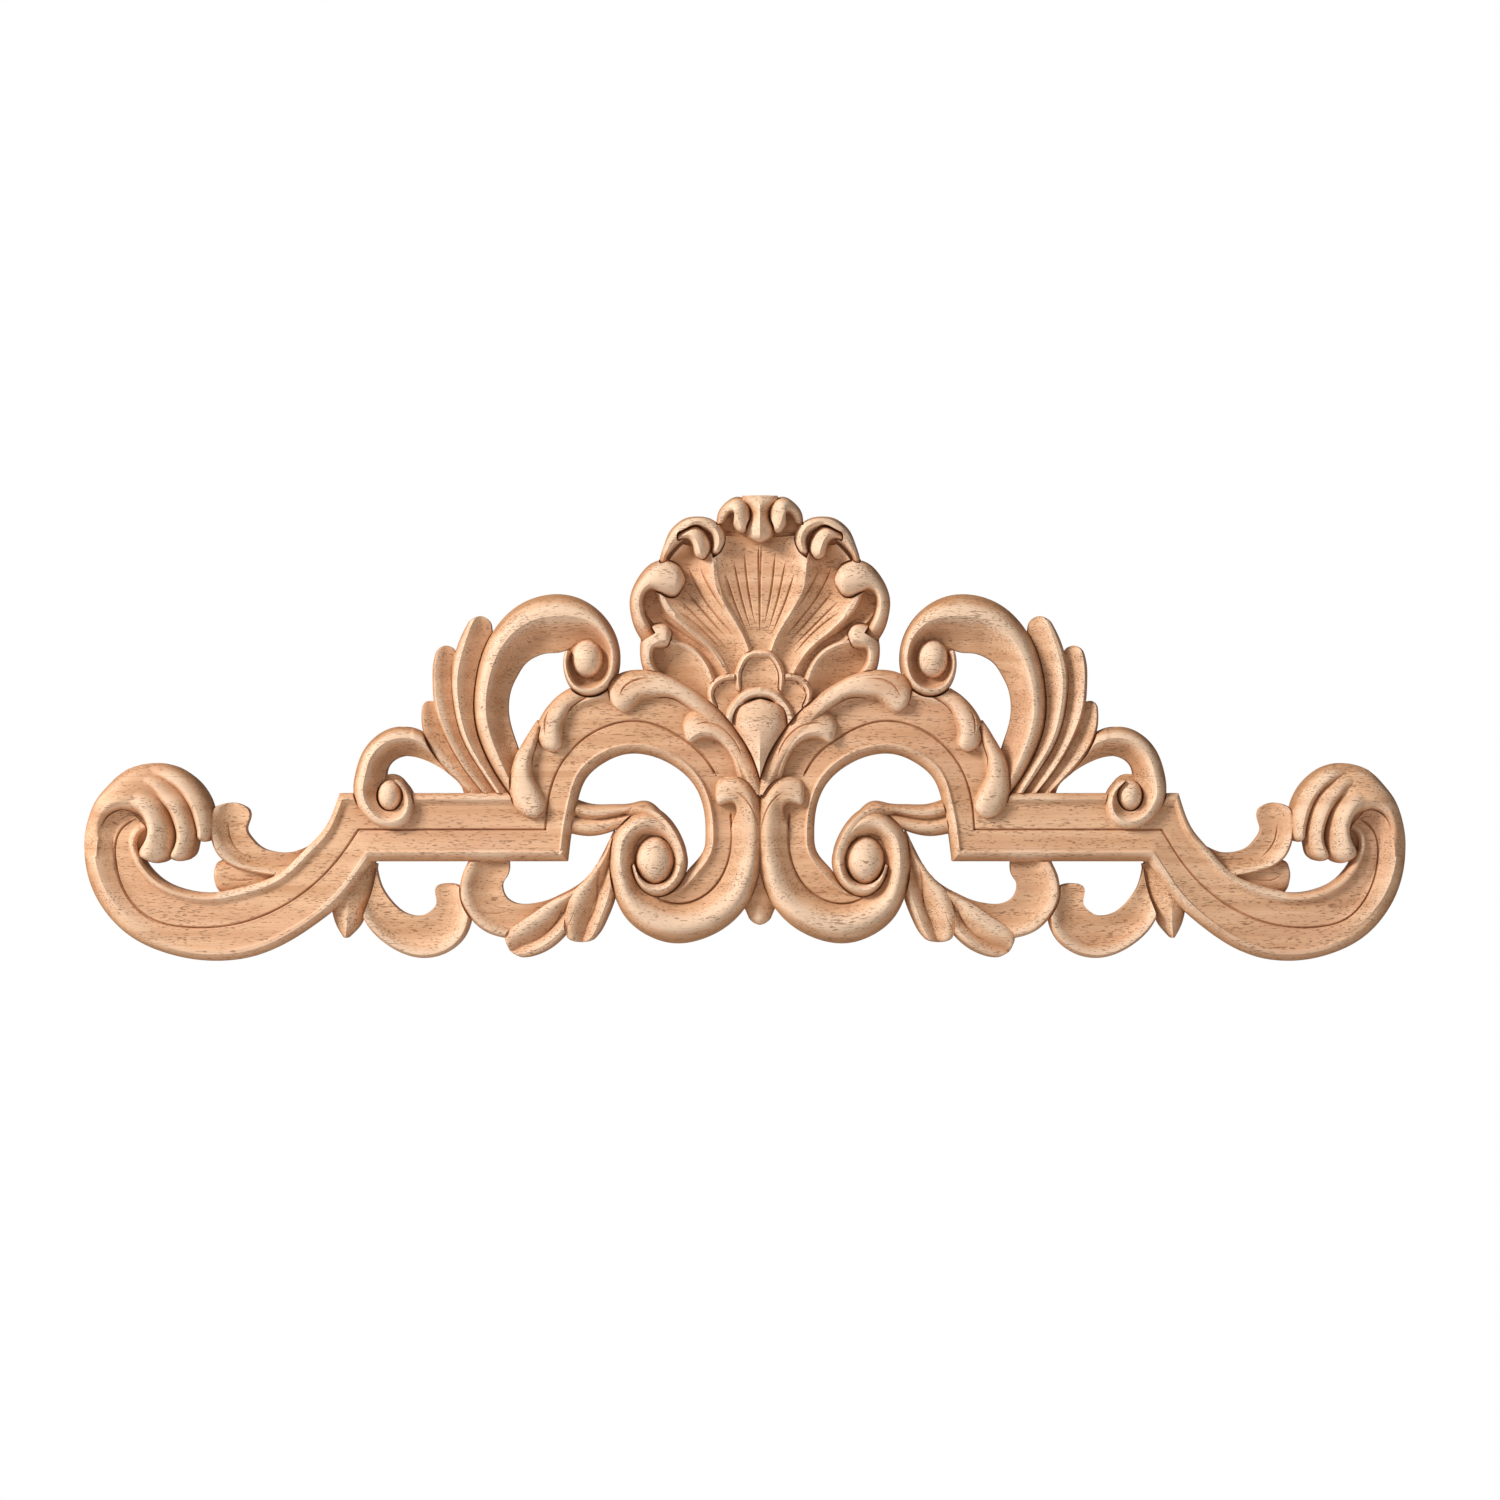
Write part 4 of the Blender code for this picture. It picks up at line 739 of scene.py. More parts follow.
    def wooden_part(self, points: np.ndarray,
                    triangles: np.ndarray) -> tuple[np.ndarray, np.ndarray, np.ndarray]:
        """Keep the triangles that lie on wood.

        Args:
            points: rows (x, z) in millimetres.
            triangles: numbers of their corners.

        Returns:
            The points and triangles that are kept, and the height at each point.
        """
        centres = points[triangles].mean(axis=1)
        wood = np.zeros(len(triangles), bool)
        for strip in self.board.strips:
            if strip.mode is not Mode.CUT:
                rest = np.nonzero(~wood)[0]
                wood[rest] = strip.locate(centres[rest])[0]
        used, named = np.unique(triangles[wood & (centres[:, 0] < 0)], return_inverse=True)
        points, triangles = points[used], named.reshape(-1, 3)
        heights = self.board.heights(points, self.skin)
        known = np.isfinite(heights)
        for k in np.nonzero(~known)[0]:
            heights[k] = heights[known][np.argmin(np.linalg.norm(points[known] - points[k], axis=1))]
        return points, triangles, heights

    def triangulate(self, points: Iterable[np.ndarray],
                    ties: list[tuple[int, int]]) -> tuple[np.ndarray, np.ndarray]:
        """Delaunay triangles that keep the ties as edges.

        Args:
            points: rows (x, z) in millimetres.
            ties: pairs of numbers of points.

        Returns:
            The points after welding, and triangles of their numbers.
        """
        made = delaunay_2d_cdt([Vector((float(p[0]), float(p[1]))) for p in points], ties, [], 0, self.weld)
        found = np.array([tuple(p) for p in made[0]])
        found[np.abs(found[:, 0]) < self.skin, 0] = 0.0
        return found, np.array([tuple(f) for f in made[2]])

    def solid(self) -> bmesh.types.BMesh:
        """Make the relief, its edges down to the back, and the flat back.

        Returns:
            The closed carving in metres.
        """
        points, triangles, heights = self.half_sheet()
        shape = bmesh.new()
        layer = shape.verts.layers.float.new(HOLLOW_LAYER)
        corners = [shape.verts.new((x * MM, -height * MM, z * MM)) for (x, z), height in zip(points, heights)]
        # depth under the carving round each point, which the material turns into painted shade in hollows and
        # painted highlight on ridges
        for corner, depth in zip(corners, self.hollows(triangles, heights)):
            corner[layer] = depth
        for triangle in triangles:
            shape.faces.new([corners[k] for k in triangle])
        self.open_pinches(shape)
        bmesh.ops.mirror(shape, geom=shape.verts[:] + shape.edges[:] + shape.faces[:], axis="X",
                         merge_dist=self.skin * MM)
        self.draw_in_right_end(shape)
        self.close_back(shape)
        bmesh.ops.recalc_face_normals(shape, faces=shape.faces)
        return shape

    def hollows(self, triangles: np.ndarray, heights: np.ndarray) -> np.ndarray:
        """How far each point lies under the carving round it, which the material turns into painted shade and
        painted highlight.

        Args:
            triangles: numbers of their corners.
            heights: height at each point in mm.

        Returns:
            Depths in mm, less than nothing on ridges.
        """
        ends = np.concatenate([triangles[:, [0, 1]], triangles[:, [1, 2]], triangles[:, [2, 0]]])
        ends = np.concatenate([ends, ends[:, ::-1]])
        count = np.bincount(ends[:, 0], minlength=len(heights))
        around = heights.copy()
        for _ in range(self.hollow_rounds):
            around = np.bincount(ends[:, 0], weights=around[ends[:, 1]], minlength=len(heights)) / count
        return around - heights

    @staticmethod
    def open_pinches(shape: bmesh.types.BMesh) -> None:
        """Drop the smaller fans wherever two parts of the sheet meet in one point only.

        Args:
            shape: the left half of the relief.
        """
        pinched = True
        while pinched:
            pinched = [v for v in shape.verts if sum(e.is_boundary for e in v.link_edges) > 2]
            for corner in pinched[:1]:
                fans: list[set[bmesh.types.BMFace]] = []
                for face in corner.link_faces:
                    edges = set(face.edges)
                    joined = [f for f in fans if any(edges & set(other.edges) for other in f)]
                    fans = [f for f in fans if f not in joined] + [set().union({face}, *joined)]
                fans.sort(key=lambda fan: sum(face.calc_area() for face in fan))
                bmesh.ops.delete(shape, geom=[face for fan in fans[:-1] for face in fan], context="FACES")

    @staticmethod
    def draw_in_right_end(shape: bmesh.types.BMesh) -> None:
        """Shorten the right end past the corner of the bar.

        Args:
            shape: the whole relief.
        """
        corner = PATTERN.bar_corner * PATTERN.step * MM
        for vertex in shape.verts:
            if vertex.co.x > corner:
                vertex.co.x = corner + (vertex.co.x - corner) * PATTERN.right_end_reach

    @staticmethod
    def close_back(shape: bmesh.types.BMesh) -> None:
        """Take the rim straight down to the back and close it there.

        Args:
            shape: the whole relief.
        """
        rim = [edge for edge in shape.edges if edge.is_boundary]
        walls = bmesh.ops.extrude_edge_only(shape, edges=rim)["geom"]
        for vertex in (item for item in walls if isinstance(item, bmesh.types.BMVert)):
            vertex.co.y = 0.0
        foot = [item for item in walls if isinstance(item, bmesh.types.BMEdge) and item.is_boundary]
        bmesh.ops.triangle_fill(shape, edges=foot, use_beauty=True, use_dissolve=False,
                                normal=(0.0, 1.0, 0.0))


@dataclass(frozen=True)
class Levels:
    """Heights over the back that several forms share, in mm."""

    band_foot: float = 9.5    # back of the moulding's bands
    band_crest: float = 14.5  # lip of the moulding
    leaf_foot: float = 12.0   # where the leaves rise out of the arch
    rim_foot: float = 8.5     # where the shell's rim rises out of its web
    eye_crest: float = 18.0   # top of the eyes in the curls


LEVELS = Levels()


@dataclass(frozen=True)
class ShellFloor:
    """The floor of the shell, its hollow flutes and the ridges between them."""

    floor: float = 8.5  # mm, flat web behind the flutes
    ridge_foot: Heights = (12.0, 11.5, 10.0)  # mm, from the rosette out
    ridge_crest: Heights = (14.5, 15.5, 16.5)  # mm

    def lay(self, board: Board) -> None:
        """Lay the forms, the back ones first.

        Args:
            board: what they are carved on.
        """
        board.carve("shell web", FLAT, self.floor, self.floor, [(727, 512, 765, 500), (706, 530, 765, 530),
            (676, 546, 765, 550), (658, 572, 765, 575), (641, 596, 765, 600), (642, 618, 765, 620),
            (650, 640, 765, 642), (649, 660, 765, 662), (656, 682, 765, 690), (720, 720, 765, 725),
            (740, 760, 765, 760), (752, 800, 765, 800), (750, 905, 765, 905)])
        board.carve("middle flute", FLUTE, [12, 12, 11.5, 11, 9], [13, 14, 15, 16, 16],
            [(752, 666, 762, 666), (749, 654, 762, 655), (742, 636, 762, 638), (732, 619, 762, 622),
            (721, 600, 762, 603), (714, 578, 762, 580), (712.5, 558, 762, 560), (716, 536, 762, 538)])
        board.carve("second flute", DISH, [11.5, 11, 10.5, 10, 8.5, 8.5], [14, 15, 15.5, 15.5, 14, 12],
            [(738, 688, 754, 667), (728, 677, 749, 654), (714, 654, 742, 636), (700, 640, 732, 619),
            (683, 626, 721, 600), (669, 610, 714, 582), (664, 596, 712.5, 565), (668, 566, 712, 556),
            (684, 545, 710, 548)])
        board.carve("third flute", DISH, [11, 10.5, 10, 9, 8, 8], [13.5, 14.5, 15, 15, 12, 9],
            [(724, 696, 737, 688), (713, 684, 728, 677), (705, 665, 716, 657), (695, 652, 703, 643),
            (682, 645, 688, 631), (668, 634, 674, 617), (654, 622, 664, 601), (646, 612, 655, 591)])
        board.carve("fourth flute", FLUTE, [11, 9, 8], [13.5, 14.5, 14], [(725, 696, 716, 710),
            (713, 684, 704, 699), (706, 667, 685, 694), (696, 653, 669, 683), (684, 646, 658, 673),
            (670, 642, 654, 660)])
        board.run("first ridge", RIDGE, self.ridge_foot, self.ridge_crest, [(750.5, 656, 5), (747, 645, 6),
            (740, 629, 6.5), (729, 610, 7), (720, 592, 7.5), (715.5, 573, 8), (714, 552, 8)],
            mode=Mode.LIFT)
        board.run("second ridge", RIDGE, self.ridge_foot, [14.2, 15, 15.5], [(729.5, 680, 5),
            (724.5, 667, 5.5), (716.5, 654, 6), (704, 641, 6.5), (689, 629, 7), (675, 616, 7.5),
            (665, 602, 8), (660, 590, 8)], mode=Mode.LIFT)
        board.run("third ridge", RIDGE, self.ridge_foot, [14, 14.6, 14.5], [(714.5, 687, 4.5),
            (711, 675, 5), (705, 663, 5.5), (696, 653, 6), (684, 646, 6.5), (670, 642, 7)], mode=Mode.LIFT)


@dataclass(frozen=True)
class Rosette:
    """The two petals, the collar and the pointed bud under the shell, with the drop below."""

    petal_floor: float = 12.6  # mm
    bud_foot: Heights = (14.5, 14, 12.5, 11.5, 10.5, 10.5, 10.5)  # mm, top to tip
    drop_foot: float = 6.0  # mm

    def lay(self, board: Board) -> None:
        """Lay the forms, the back ones first.

        Args:
            board: what they are carved on.
        """
        board.carve("side petal", DISH, self.petal_floor, [14.5, 14.5], [(726, 718, 750, 690),
            (715, 706, 743, 678), (710.5, 697, 731, 675)], end=3)
        board.run("side petal lip", ROLL, 11.5, [15, 15.8, 15.8], [(717, 709, 4.5), (711.5, 699, 5),
            (711.5, 690, 5), (717, 682, 5), (727, 677.5, 5), (737, 678, 5), (742, 682, 5)], start=6, end=5)
        board.carve("top petal", DISH, self.petal_floor, [14.5, 15], [(739, 694, 781, 694),
            (738.5, 674, 783.5, 674), (743, 661, 777, 661), (748, 654, 772, 654)], end=3)
        board.run("top petal lip", ROLL, 12, [15.2, 15.8, 15.8], [(739.5, 692, 4.5), (738.5, 684, 5),
            (738.5, 674, 5), (741.5, 665, 5), (746, 658, 5), (752, 654.2, 5), (760, 653.5, 5),
            (765, 653.5, 5)], start=5)
        board.run("collar", ROLL, 12.5, 17.5, [(728.5, 726, 6.5), (731.4, 713.3, 8), (737.6, 703.3, 8.3),
            (746.4, 695.7, 8.5), (756, 692.5, 8.5), (765, 692.2, 8.5)])
        board.carve("bud", Turning(DOME, KEEL, 0.25, 0.6), self.bud_foot, [17, 20, 20, 18],
            [(752, 699, 770, 699), (738, 708, 784, 708), (733.5, 722, 788, 722), (736, 736, 785, 736),
            (742, 752, 779, 752), (752, 775, 769, 775), (760, 797, 763, 797)], start=9)
        board.carve("drop", DOME, self.drop_foot, 11, [(739, 850, 783, 850), (739, 885, 783, 885),
            (743, 903, 781, 903), (748, 914, 777, 914), (752, 925.5, 773, 925.5)], end=8)


@dataclass(frozen=True)
class FeatherFan:
    """The three feathers over the bar, and the arm of the small curl that runs in under them."""

    feather_foot: float = 7.0  # mm
    feather_crest: Heights = (11, 13, 13.5, 13)  # mm, tip to bar

    def lay(self, board: Board) -> None:
        """Lay the forms, the back ones first.

        Args:
            board: what they are carved on.
        """
        board.carve("arm of the small curl", SCROLL, 8, [12, 14, 15.3, 16, 16.5], [(466, 776, 469, 794),
            (441, 750, 448.5, 773), (423, 733, 428.5, 760.8), (400, 727.5, 408, 755.5),
            (380, 734.3, 394, 759)])
        board.carve("feather foot", FLAT, 8, 8, [(448, 772, 520, 756), (462, 786, 520, 780),
            (466, 800, 520, 800)])
        board.carve("first feather", FEATHER, self.feather_foot, [10, 12, 12, 12],
            [(423.3, 701, 435, 700.5), (422.4, 722, 438, 715), (429, 745, 448, 735), (443, 765, 464, 757),
            (466, 789, 480, 782), (482, 806, 494, 801)], start=6)
        board.carve("second feather", FEATHER, self.feather_foot, self.feather_crest,
            [(439, 645.5, 453, 645.5), (434, 664, 456, 664), (433.5, 682, 456, 680), (435, 703, 459, 700),
            (447, 738, 466, 733), (468, 773, 482, 766), (483, 792, 495, 787), (494, 806, 505, 802)],
            start=7)
        board.carve("third feather", FEATHER, self.feather_foot, [12, 14, 14.5, 14],
            [(473, 615.5, 488.5, 616.5), (460.5, 640, 491, 642), (455.7, 655, 488, 657),
            (453, 672, 482, 673), (455.5, 710, 480, 707), (464, 740, 486, 735), (482, 771, 500, 765),
            (497, 793, 512, 788), (506, 806, 519, 802)], start=8)


@dataclass(frozen=True)
class LowerHook:
    """The hook under the end of the bar and the bud leaf beside it."""

    hook_foot: float = 7.0  # mm
    hook_crest: Heights = (11, 12.5, 13, 13, 13)  # mm
    bud_leaf_foot: float = 5.0  # mm

    def lay(self, board: Board) -> None:
        """Lay the forms, the back ones first.

        Args:
            board: what they are carved on.
        """
        board.carve("hook", HOLLOW, self.hook_foot, self.hook_crest, [(352, 868, 374, 860),
            (357, 890, 377, 877), (363, 914, 383, 892.3), (377, 935, 395, 907.3), (400, 951, 407.3, 915.3),
            (424, 957, 420, 917), (448.5, 951, 430.3, 912.3), (464.3, 936, 436.8, 905),
            (470.5, 918, 436.8, 897), (470, 903, 436.3, 889), (464, 886, 443, 882.3)], end=6)
        board.carve("bud leaf", KEEL, self.bud_leaf_foot, [9, 10, 10.5, 9], [(340, 862, 376, 864),
            (333, 888, 371, 890), (331.5, 906, 364, 912), (335.5, 923, 359, 925), (344, 938, 347, 938)])


@dataclass(frozen=True)
class Acanthus:
    """The acanthus leaf between the bar and the volute."""

    acanthus_foot: float = 7.0  # mm
    lobe_foot: float = 6.0  # mm
    lobe_crest: Heights = (11, 12.5, 13.5, 13.5, 12.5, 11)  # mm, root to tip

    def lay(self, board: Board) -> None:
        """Lay the forms, the back ones first.

        Args:
            board: what they are carved on.
        """
        board.carve("acanthus", HOLLOW, self.acanthus_foot, [12, 12.5, 13, 12, 12, 12, 12],
            [(470, 850, 506, 850), (469.5, 861, 508.3, 867), (464, 873, 505.5, 877), (461, 888, 501.5, 884),
            (463, 903, 503.7, 895.3), (471, 917, 510.5, 902), (484, 929.5, 520, 905),
            (500, 936, 532, 904.5), (514, 938, 545, 901.7), (535, 936, 558, 896.3), (560, 922, 574, 888),
            (588, 903, 592, 872), (606, 882, 604, 852), (620, 856, 614.5, 830)])
        board.carve("middle lobe", LOBE, self.lobe_foot, self.lobe_crest, [(592, 877, 601, 884),
            (575, 890.5, 587, 900), (557.5, 899, 572.5, 917), (545, 906.5, 567.5, 931),
            (533, 915, 561, 939.5), (521, 923, 552, 947), (511, 930, 539, 953.8), (506, 938, 523, 957),
            (507.5, 948, 512, 954)], end=4)
        board.carve("right lobe", LOBE, self.lobe_foot, self.lobe_crest, [(611.5, 838, 619, 842),
            (606.5, 852, 616, 857), (596, 867.5, 614.5, 873), (585, 881, 615, 886),
            (575, 891.5, 614.5, 897), (569, 905, 611, 908.5), (566, 919, 605.5, 921.5),
            (566.5, 931.5, 598.5, 934), (570.5, 942, 589.5, 943)], end=4)


@dataclass(frozen=True)
class StrapAndEndLeaf:
    """The strap inside the arch and the leaf inside the end scroll."""

    strap_crest: Heights = (12, 13, 13, 14)  # mm, arch to volute
    end_leaf_foot: float = 6.5  # mm

    def lay(self, board: Board) -> None:
        """Lay the forms, the back ones first.

        Args:
            board: what they are carved on.
        """
        board.carve("strap", STRAP, 7, self.strap_crest, [(573, 799, 568, 832), (592, 805, 590, 835.3),
            (612, 805.3, 614, 830), (632, 804, 636, 822), (652, 804, 656, 824), (664, 816, 658, 829)])
        board.carve("lower lobe of the end leaf", LEAF, self.end_leaf_foot, [8.6, 9.0, 9.4, 9.2],
            [(320, 905, 320, 850), (290, 900, 290, 853), (262, 897, 262, 856), (240, 896, 239, 858),
            (226.5, 895, 227.5, 860), (218.3, 890, 219, 862), (213, 880, 213.7, 868)], end=3)
        board.carve("end leaf", HOLLOW, self.end_leaf_foot, [11, 12.5, 12.5, 12.5, 11.5],
            [(219, 802.5, 243, 803), (211, 814, 248.5, 815), (210.6, 830, 245, 828),
            (214.5, 846, 249.5, 838), (221.5, 857.5, 257.5, 846.3), (236, 867, 269, 851.6),
            (254, 872, 284, 853.3), (280, 876, 304.3, 848.3), (312, 870, 329, 834)], start=7)


@dataclass(frozen=True)
class Wells:
    """The hollows behind the four curls."""

    well_foot: float = 8.0  # mm

    def lay(self, board: Board) -> None:
        """Lay the forms, the back ones first.

        Args:
            board: what they are carved on.
        """
        board.boss("well of the big curl", 588, 660, 22, 28, self.well_foot, 9)
        board.boss("well of the volute", 654, 866, 31, 45, self.well_foot, 10)
        board.boss("well of the small curl", 391, 796, 17, 22, self.well_foot, 9)
        board.boss("well of the end scroll", 128, 830, 26, 26, self.well_foot, 10)


@dataclass(frozen=True)
class Moulding:
    """The moulding: end scroll, bar and arch."""

    # mm, knuckles to bar
    scroll_crest: Heights = (12, 13.5, 15, 15.5, 15.5, 15.5, 15.3, 15, 14.8, 14.6) + (14.5,) * 5
    arch_crest: Heights = (14.5,) * 4 + (14, 13)  # mm

    def lay(self, board: Board) -> None:
        """Lay the forms, the back ones first.

        Args:
            board: what they are carved on.
        """
        board.carve("end scroll", Turning(MOULDING_WIDE, MOULDING, 0.2, 0.5), LEVELS.band_foot,
            self.scroll_crest, [(112, 792, 148, 828), (95, 808, 141, 832), (87, 833, 137, 844),
            (86.3, 856, 141, 856.5), (91, 880.5, 148, 867.8), (107, 911.3, 163, 881.7),
            (133, 936.3, 181, 889.7), (165, 951.3, 197, 893.2), (205, 959.3, 213.3, 893.7),
            (247.5, 956.8, 231.5, 890.7), (286, 942, 258, 884), (320, 919.5, 286, 870),
            (344, 898.3, 310, 846.5), (360, 877, 328, 826), (372, 860.5, 341, 794)])
        board.carve("bar", MOULDING, LEVELS.band_foot, LEVELS.band_crest, [(372, 860.5, 341, 794),
            (470, 860.5, 430, 794), (567, 860.5, 520, 794)])
        board.carve("arch", Turning(MOULDING, ARCH, 0.45, 0.62), LEVELS.band_foot, self.arch_crest,
            [(567, 860.5, 520, 794), (570, 835, 521, 780), (575.3, 806.5, 527, 757), (585, 778.3, 543, 725),
            (603.5, 762, 570, 702), (626.5, 753.3, 612, 690), (651.5, 755.2, 655, 690),
            (676, 766.5, 695, 702), (695, 785, 728, 730), (705, 812, 752, 775), (706.5, 835, 762, 822),
            (702, 855, 758, 868), (691, 868, 748, 895), (684, 877, 722, 920), (673, 888, 690, 925),
            (660, 890, 660, 925)])


@dataclass(frozen=True)
class Knuckles:
    """The roll of the end scroll and the three knuckles that come out of it."""

    roll_crest: Heights = (15.5, 15.5, 16, 17, 18, 18, 17, 15, 12.5, 10.5, 9.5)  # mm
    knuckle_foot: float = 8.5  # mm

    def lay(self, board: Board) -> None:
        """Lay the forms, the back ones first.

        Args:
            board: what they are carved on.
        """
        board.carve("roll of the end scroll", Turning(FILLET, FINGER, 0.05, 0.35), LEVELS.band_foot,
            self.roll_crest, [(86.3, 856, 98.3, 856), (86, 840, 99.5, 840), (89.5, 820.3, 104, 823),
            (97.3, 801, 111.5, 813.5), (109.3, 786.3, 122, 809), (126.5, 771.5, 134, 811),
            (148, 764.5, 142, 816), (170, 766, 147, 826), (190, 777, 148, 834), (204, 795, 149, 838),
            (208, 815, 150, 842)])
        board.carve("third knuckle", FINGER, self.knuckle_foot, [10.5, 13.5, 15.8, 16.5, 16.5, 16.3, 16,
            15.5, 15], [(126, 771, 130, 784), (150, 764.5, 152, 778), (172, 766.5, 166, 782),
            (188, 774.5, 178, 790), (200, 785, 186, 800), (209, 799, 192, 812), (213.3, 815, 196, 825),
            (213.3, 830, 198, 833), (211.5, 842, 198, 842)], end=7, mode=Mode.LIFT)
        board.carve("second knuckle", FINGER, self.knuckle_foot, [11.5, 15, 17, 17.5, 17.8, 17.8, 17.5, 17,
            16.5, 15.5], [(118, 778, 124, 792), (140, 769, 139, 789), (160, 773, 153, 791),
            (174, 782, 162, 802), (184, 791, 169, 811), (191.5, 804, 174, 822), (196, 818, 177, 832),
            (198, 833, 176.5, 843), (196, 848, 172, 852), (192, 861.5, 168, 861)], end=9, mode=Mode.LIFT)
        board.carve("first knuckle", FINGER, self.knuckle_foot, [12, 16, 18, 19, 19.3, 19.3, 19.2, 18.8,
            18.3, 17], [(103, 795, 114, 812), (116, 782, 124, 808.5), (134, 777, 136, 811.5),
            (150, 784, 144.5, 818), (161, 794, 148, 826.5), (169, 805, 148.5, 833), (174.5, 818, 146, 841),
            (177.5, 832, 141, 848.5), (176.5, 846, 139.5, 854), (171, 863.5, 144, 863)], end=11,
            mode=Mode.LIFT)


@dataclass(frozen=True)
class Curls:
    """The big curl and the small curl with their eyes, and the leaf tucked under the big one."""

    curl_foot: float = 8.0  # mm
    tucked_crest: Heights = (13, 14.5, 15.5, 16.5, 17, 17.5, 17.5, 17, 16.5)  # mm

    def lay(self, board: Board) -> None:
        """Lay the forms, the back ones first.

        Args:
            board: what they are carved on.
        """
        board.carve("tucked leaf", LEAF, LEVELS.leaf_foot, self.tucked_crest, [(580, 682, 592, 694),
            (571, 688.5, 580, 701), (560.3, 695.5, 571.5, 707.5), (551.3, 704, 567, 714),
            (544, 713.8, 564, 722), (539, 724.5, 562.5, 730), (538, 735, 563, 738),
            (541, 744.5, 563, 744.5), (546, 752, 560, 752)], end=8)
        board.carve("big curl", SCROLL, self.curl_foot, [14, 16, 17, 17, 17, 17], [(513, 797, 524, 790),
            (497, 775, 521, 765), (482, 745, 515, 743), (475, 715, 507.5, 716), (476, 685, 509, 691),
            (482.5, 655, 516, 675), (493.3, 632.5, 523.5, 663.5), (510, 612.8, 533, 656.5),
            (531.5, 599.8, 545, 652.3), (555, 595, 557, 651.5), (580, 599.5, 571, 646.5),
            (602, 615, 585, 640), (616, 639, 600, 647), (619, 662, 604, 662), (611, 686, 598, 676),
            (595, 696, 589, 680), (577, 693, 579, 678), (567, 680, 573, 670), (564, 662, 571, 660),
            (566, 650, 573, 651)], end=2)
        board.boss("eye of the big curl", 587.5, 659, 15.5, 19, 9, LEVELS.eye_crest)
        board.carve("small curl", SCROLL, [8, 8, 8, 8, 8.5, 10, 11.5, 12.3, 12.5, 12.5, 12.5, 11, 10],
            [15.6, 16, 16.5] + [17] * 10, [(412, 729, 418.5, 755.5),
            (400, 727.5, 408, 755), (380, 734.3, 394, 759), (364.5, 750.5, 386.5, 768),
            (356.5, 773, 384, 780), (355, 792, 381, 790), (363, 811, 383, 802), (376, 823, 387, 809),
            (392, 828, 392, 810), (407, 823, 398, 807), (414, 808, 402, 799), (411, 792, 400, 791),
            (402.5, 782, 396, 788.5), (394.5, 779.5, 393, 786)], end=2)
        board.boss("eye of the small curl", 390.5, 795.5, 12.3, 15.5, 9, LEVELS.eye_crest)


@dataclass(frozen=True)
class ArchLeaves:
    """The lowest lobe of the shell's rim and the leaves that lie on the arch."""

    long_leaf_crest: Heights = (16.5, 17.5, 17.5, 17.5, 16.5)  # mm

    def lay(self, board: Board) -> None:
        """Lay the forms, the back ones first.

        Args:
            board: what they are carved on.
        """
        board.carve("fourth rim lobe", LEAF, LEVELS.rim_foot, [12.5, 14, 15.5, 16.5, 18, 18.5, 18.5, 18],
            [(650, 680, 663, 676), (643.5, 668, 654, 664), (641, 654, 652.5, 654), (641.5, 642, 655, 648.5),
            (645.5, 631.5, 659, 648), (653, 625.5, 663, 647.5), (663, 624, 667, 646.5),
            (673, 629, 671.5, 643)], end=6)
        board.carve("hanging leaf", LEAF, LEVELS.leaf_foot, [13.5, 15, 16, 16.5, 17, 17, 17.3, 17.5, 17,
            16], [(538, 721, 541, 727), (532, 730, 538.5, 737), (526, 740, 536, 747),
            (519, 752, 533, 755.5), (513.5, 767, 532, 766), (511, 782, 534.5, 778), (512, 795, 540, 788.5),
            (516, 806.5, 545.5, 800), (524, 815, 545.5, 809), (531, 819.5, 541, 817)], end=7)
        board.carve("long leaf", LEAF, LEVELS.leaf_foot, self.long_leaf_crest, [(607.5, 696, 617, 712.5),
            (612, 681, 629, 711), (630, 671.5, 641, 701), (650, 671.5, 654, 697.5), (669, 677, 670, 697.5),
            (687, 686.5, 684, 704), (703, 697.5, 697, 714), (722, 714, 711, 731), (738, 734, 726, 748),
            (752, 758, 740, 770), (763, 793, 752, 796)], start=7)
        board.carve("short leaf", BACK, 10, [16.5, 17.5, 18, 18, 17.8, 17.5, 17, 16.5, 15.5, 14],
            [(682, 733, 688, 744.5), (683.5, 719, 695, 741.5), (692, 709.5, 703, 738.7),
            (705, 707, 712, 739.3), (718, 714, 719, 742), (730, 725, 725.5, 748), (740, 738, 731, 757),
            (748, 752, 735.5, 768), (754, 766, 738.5, 780), (759, 782, 744, 792)], start=7, mode=Mode.LIFT)


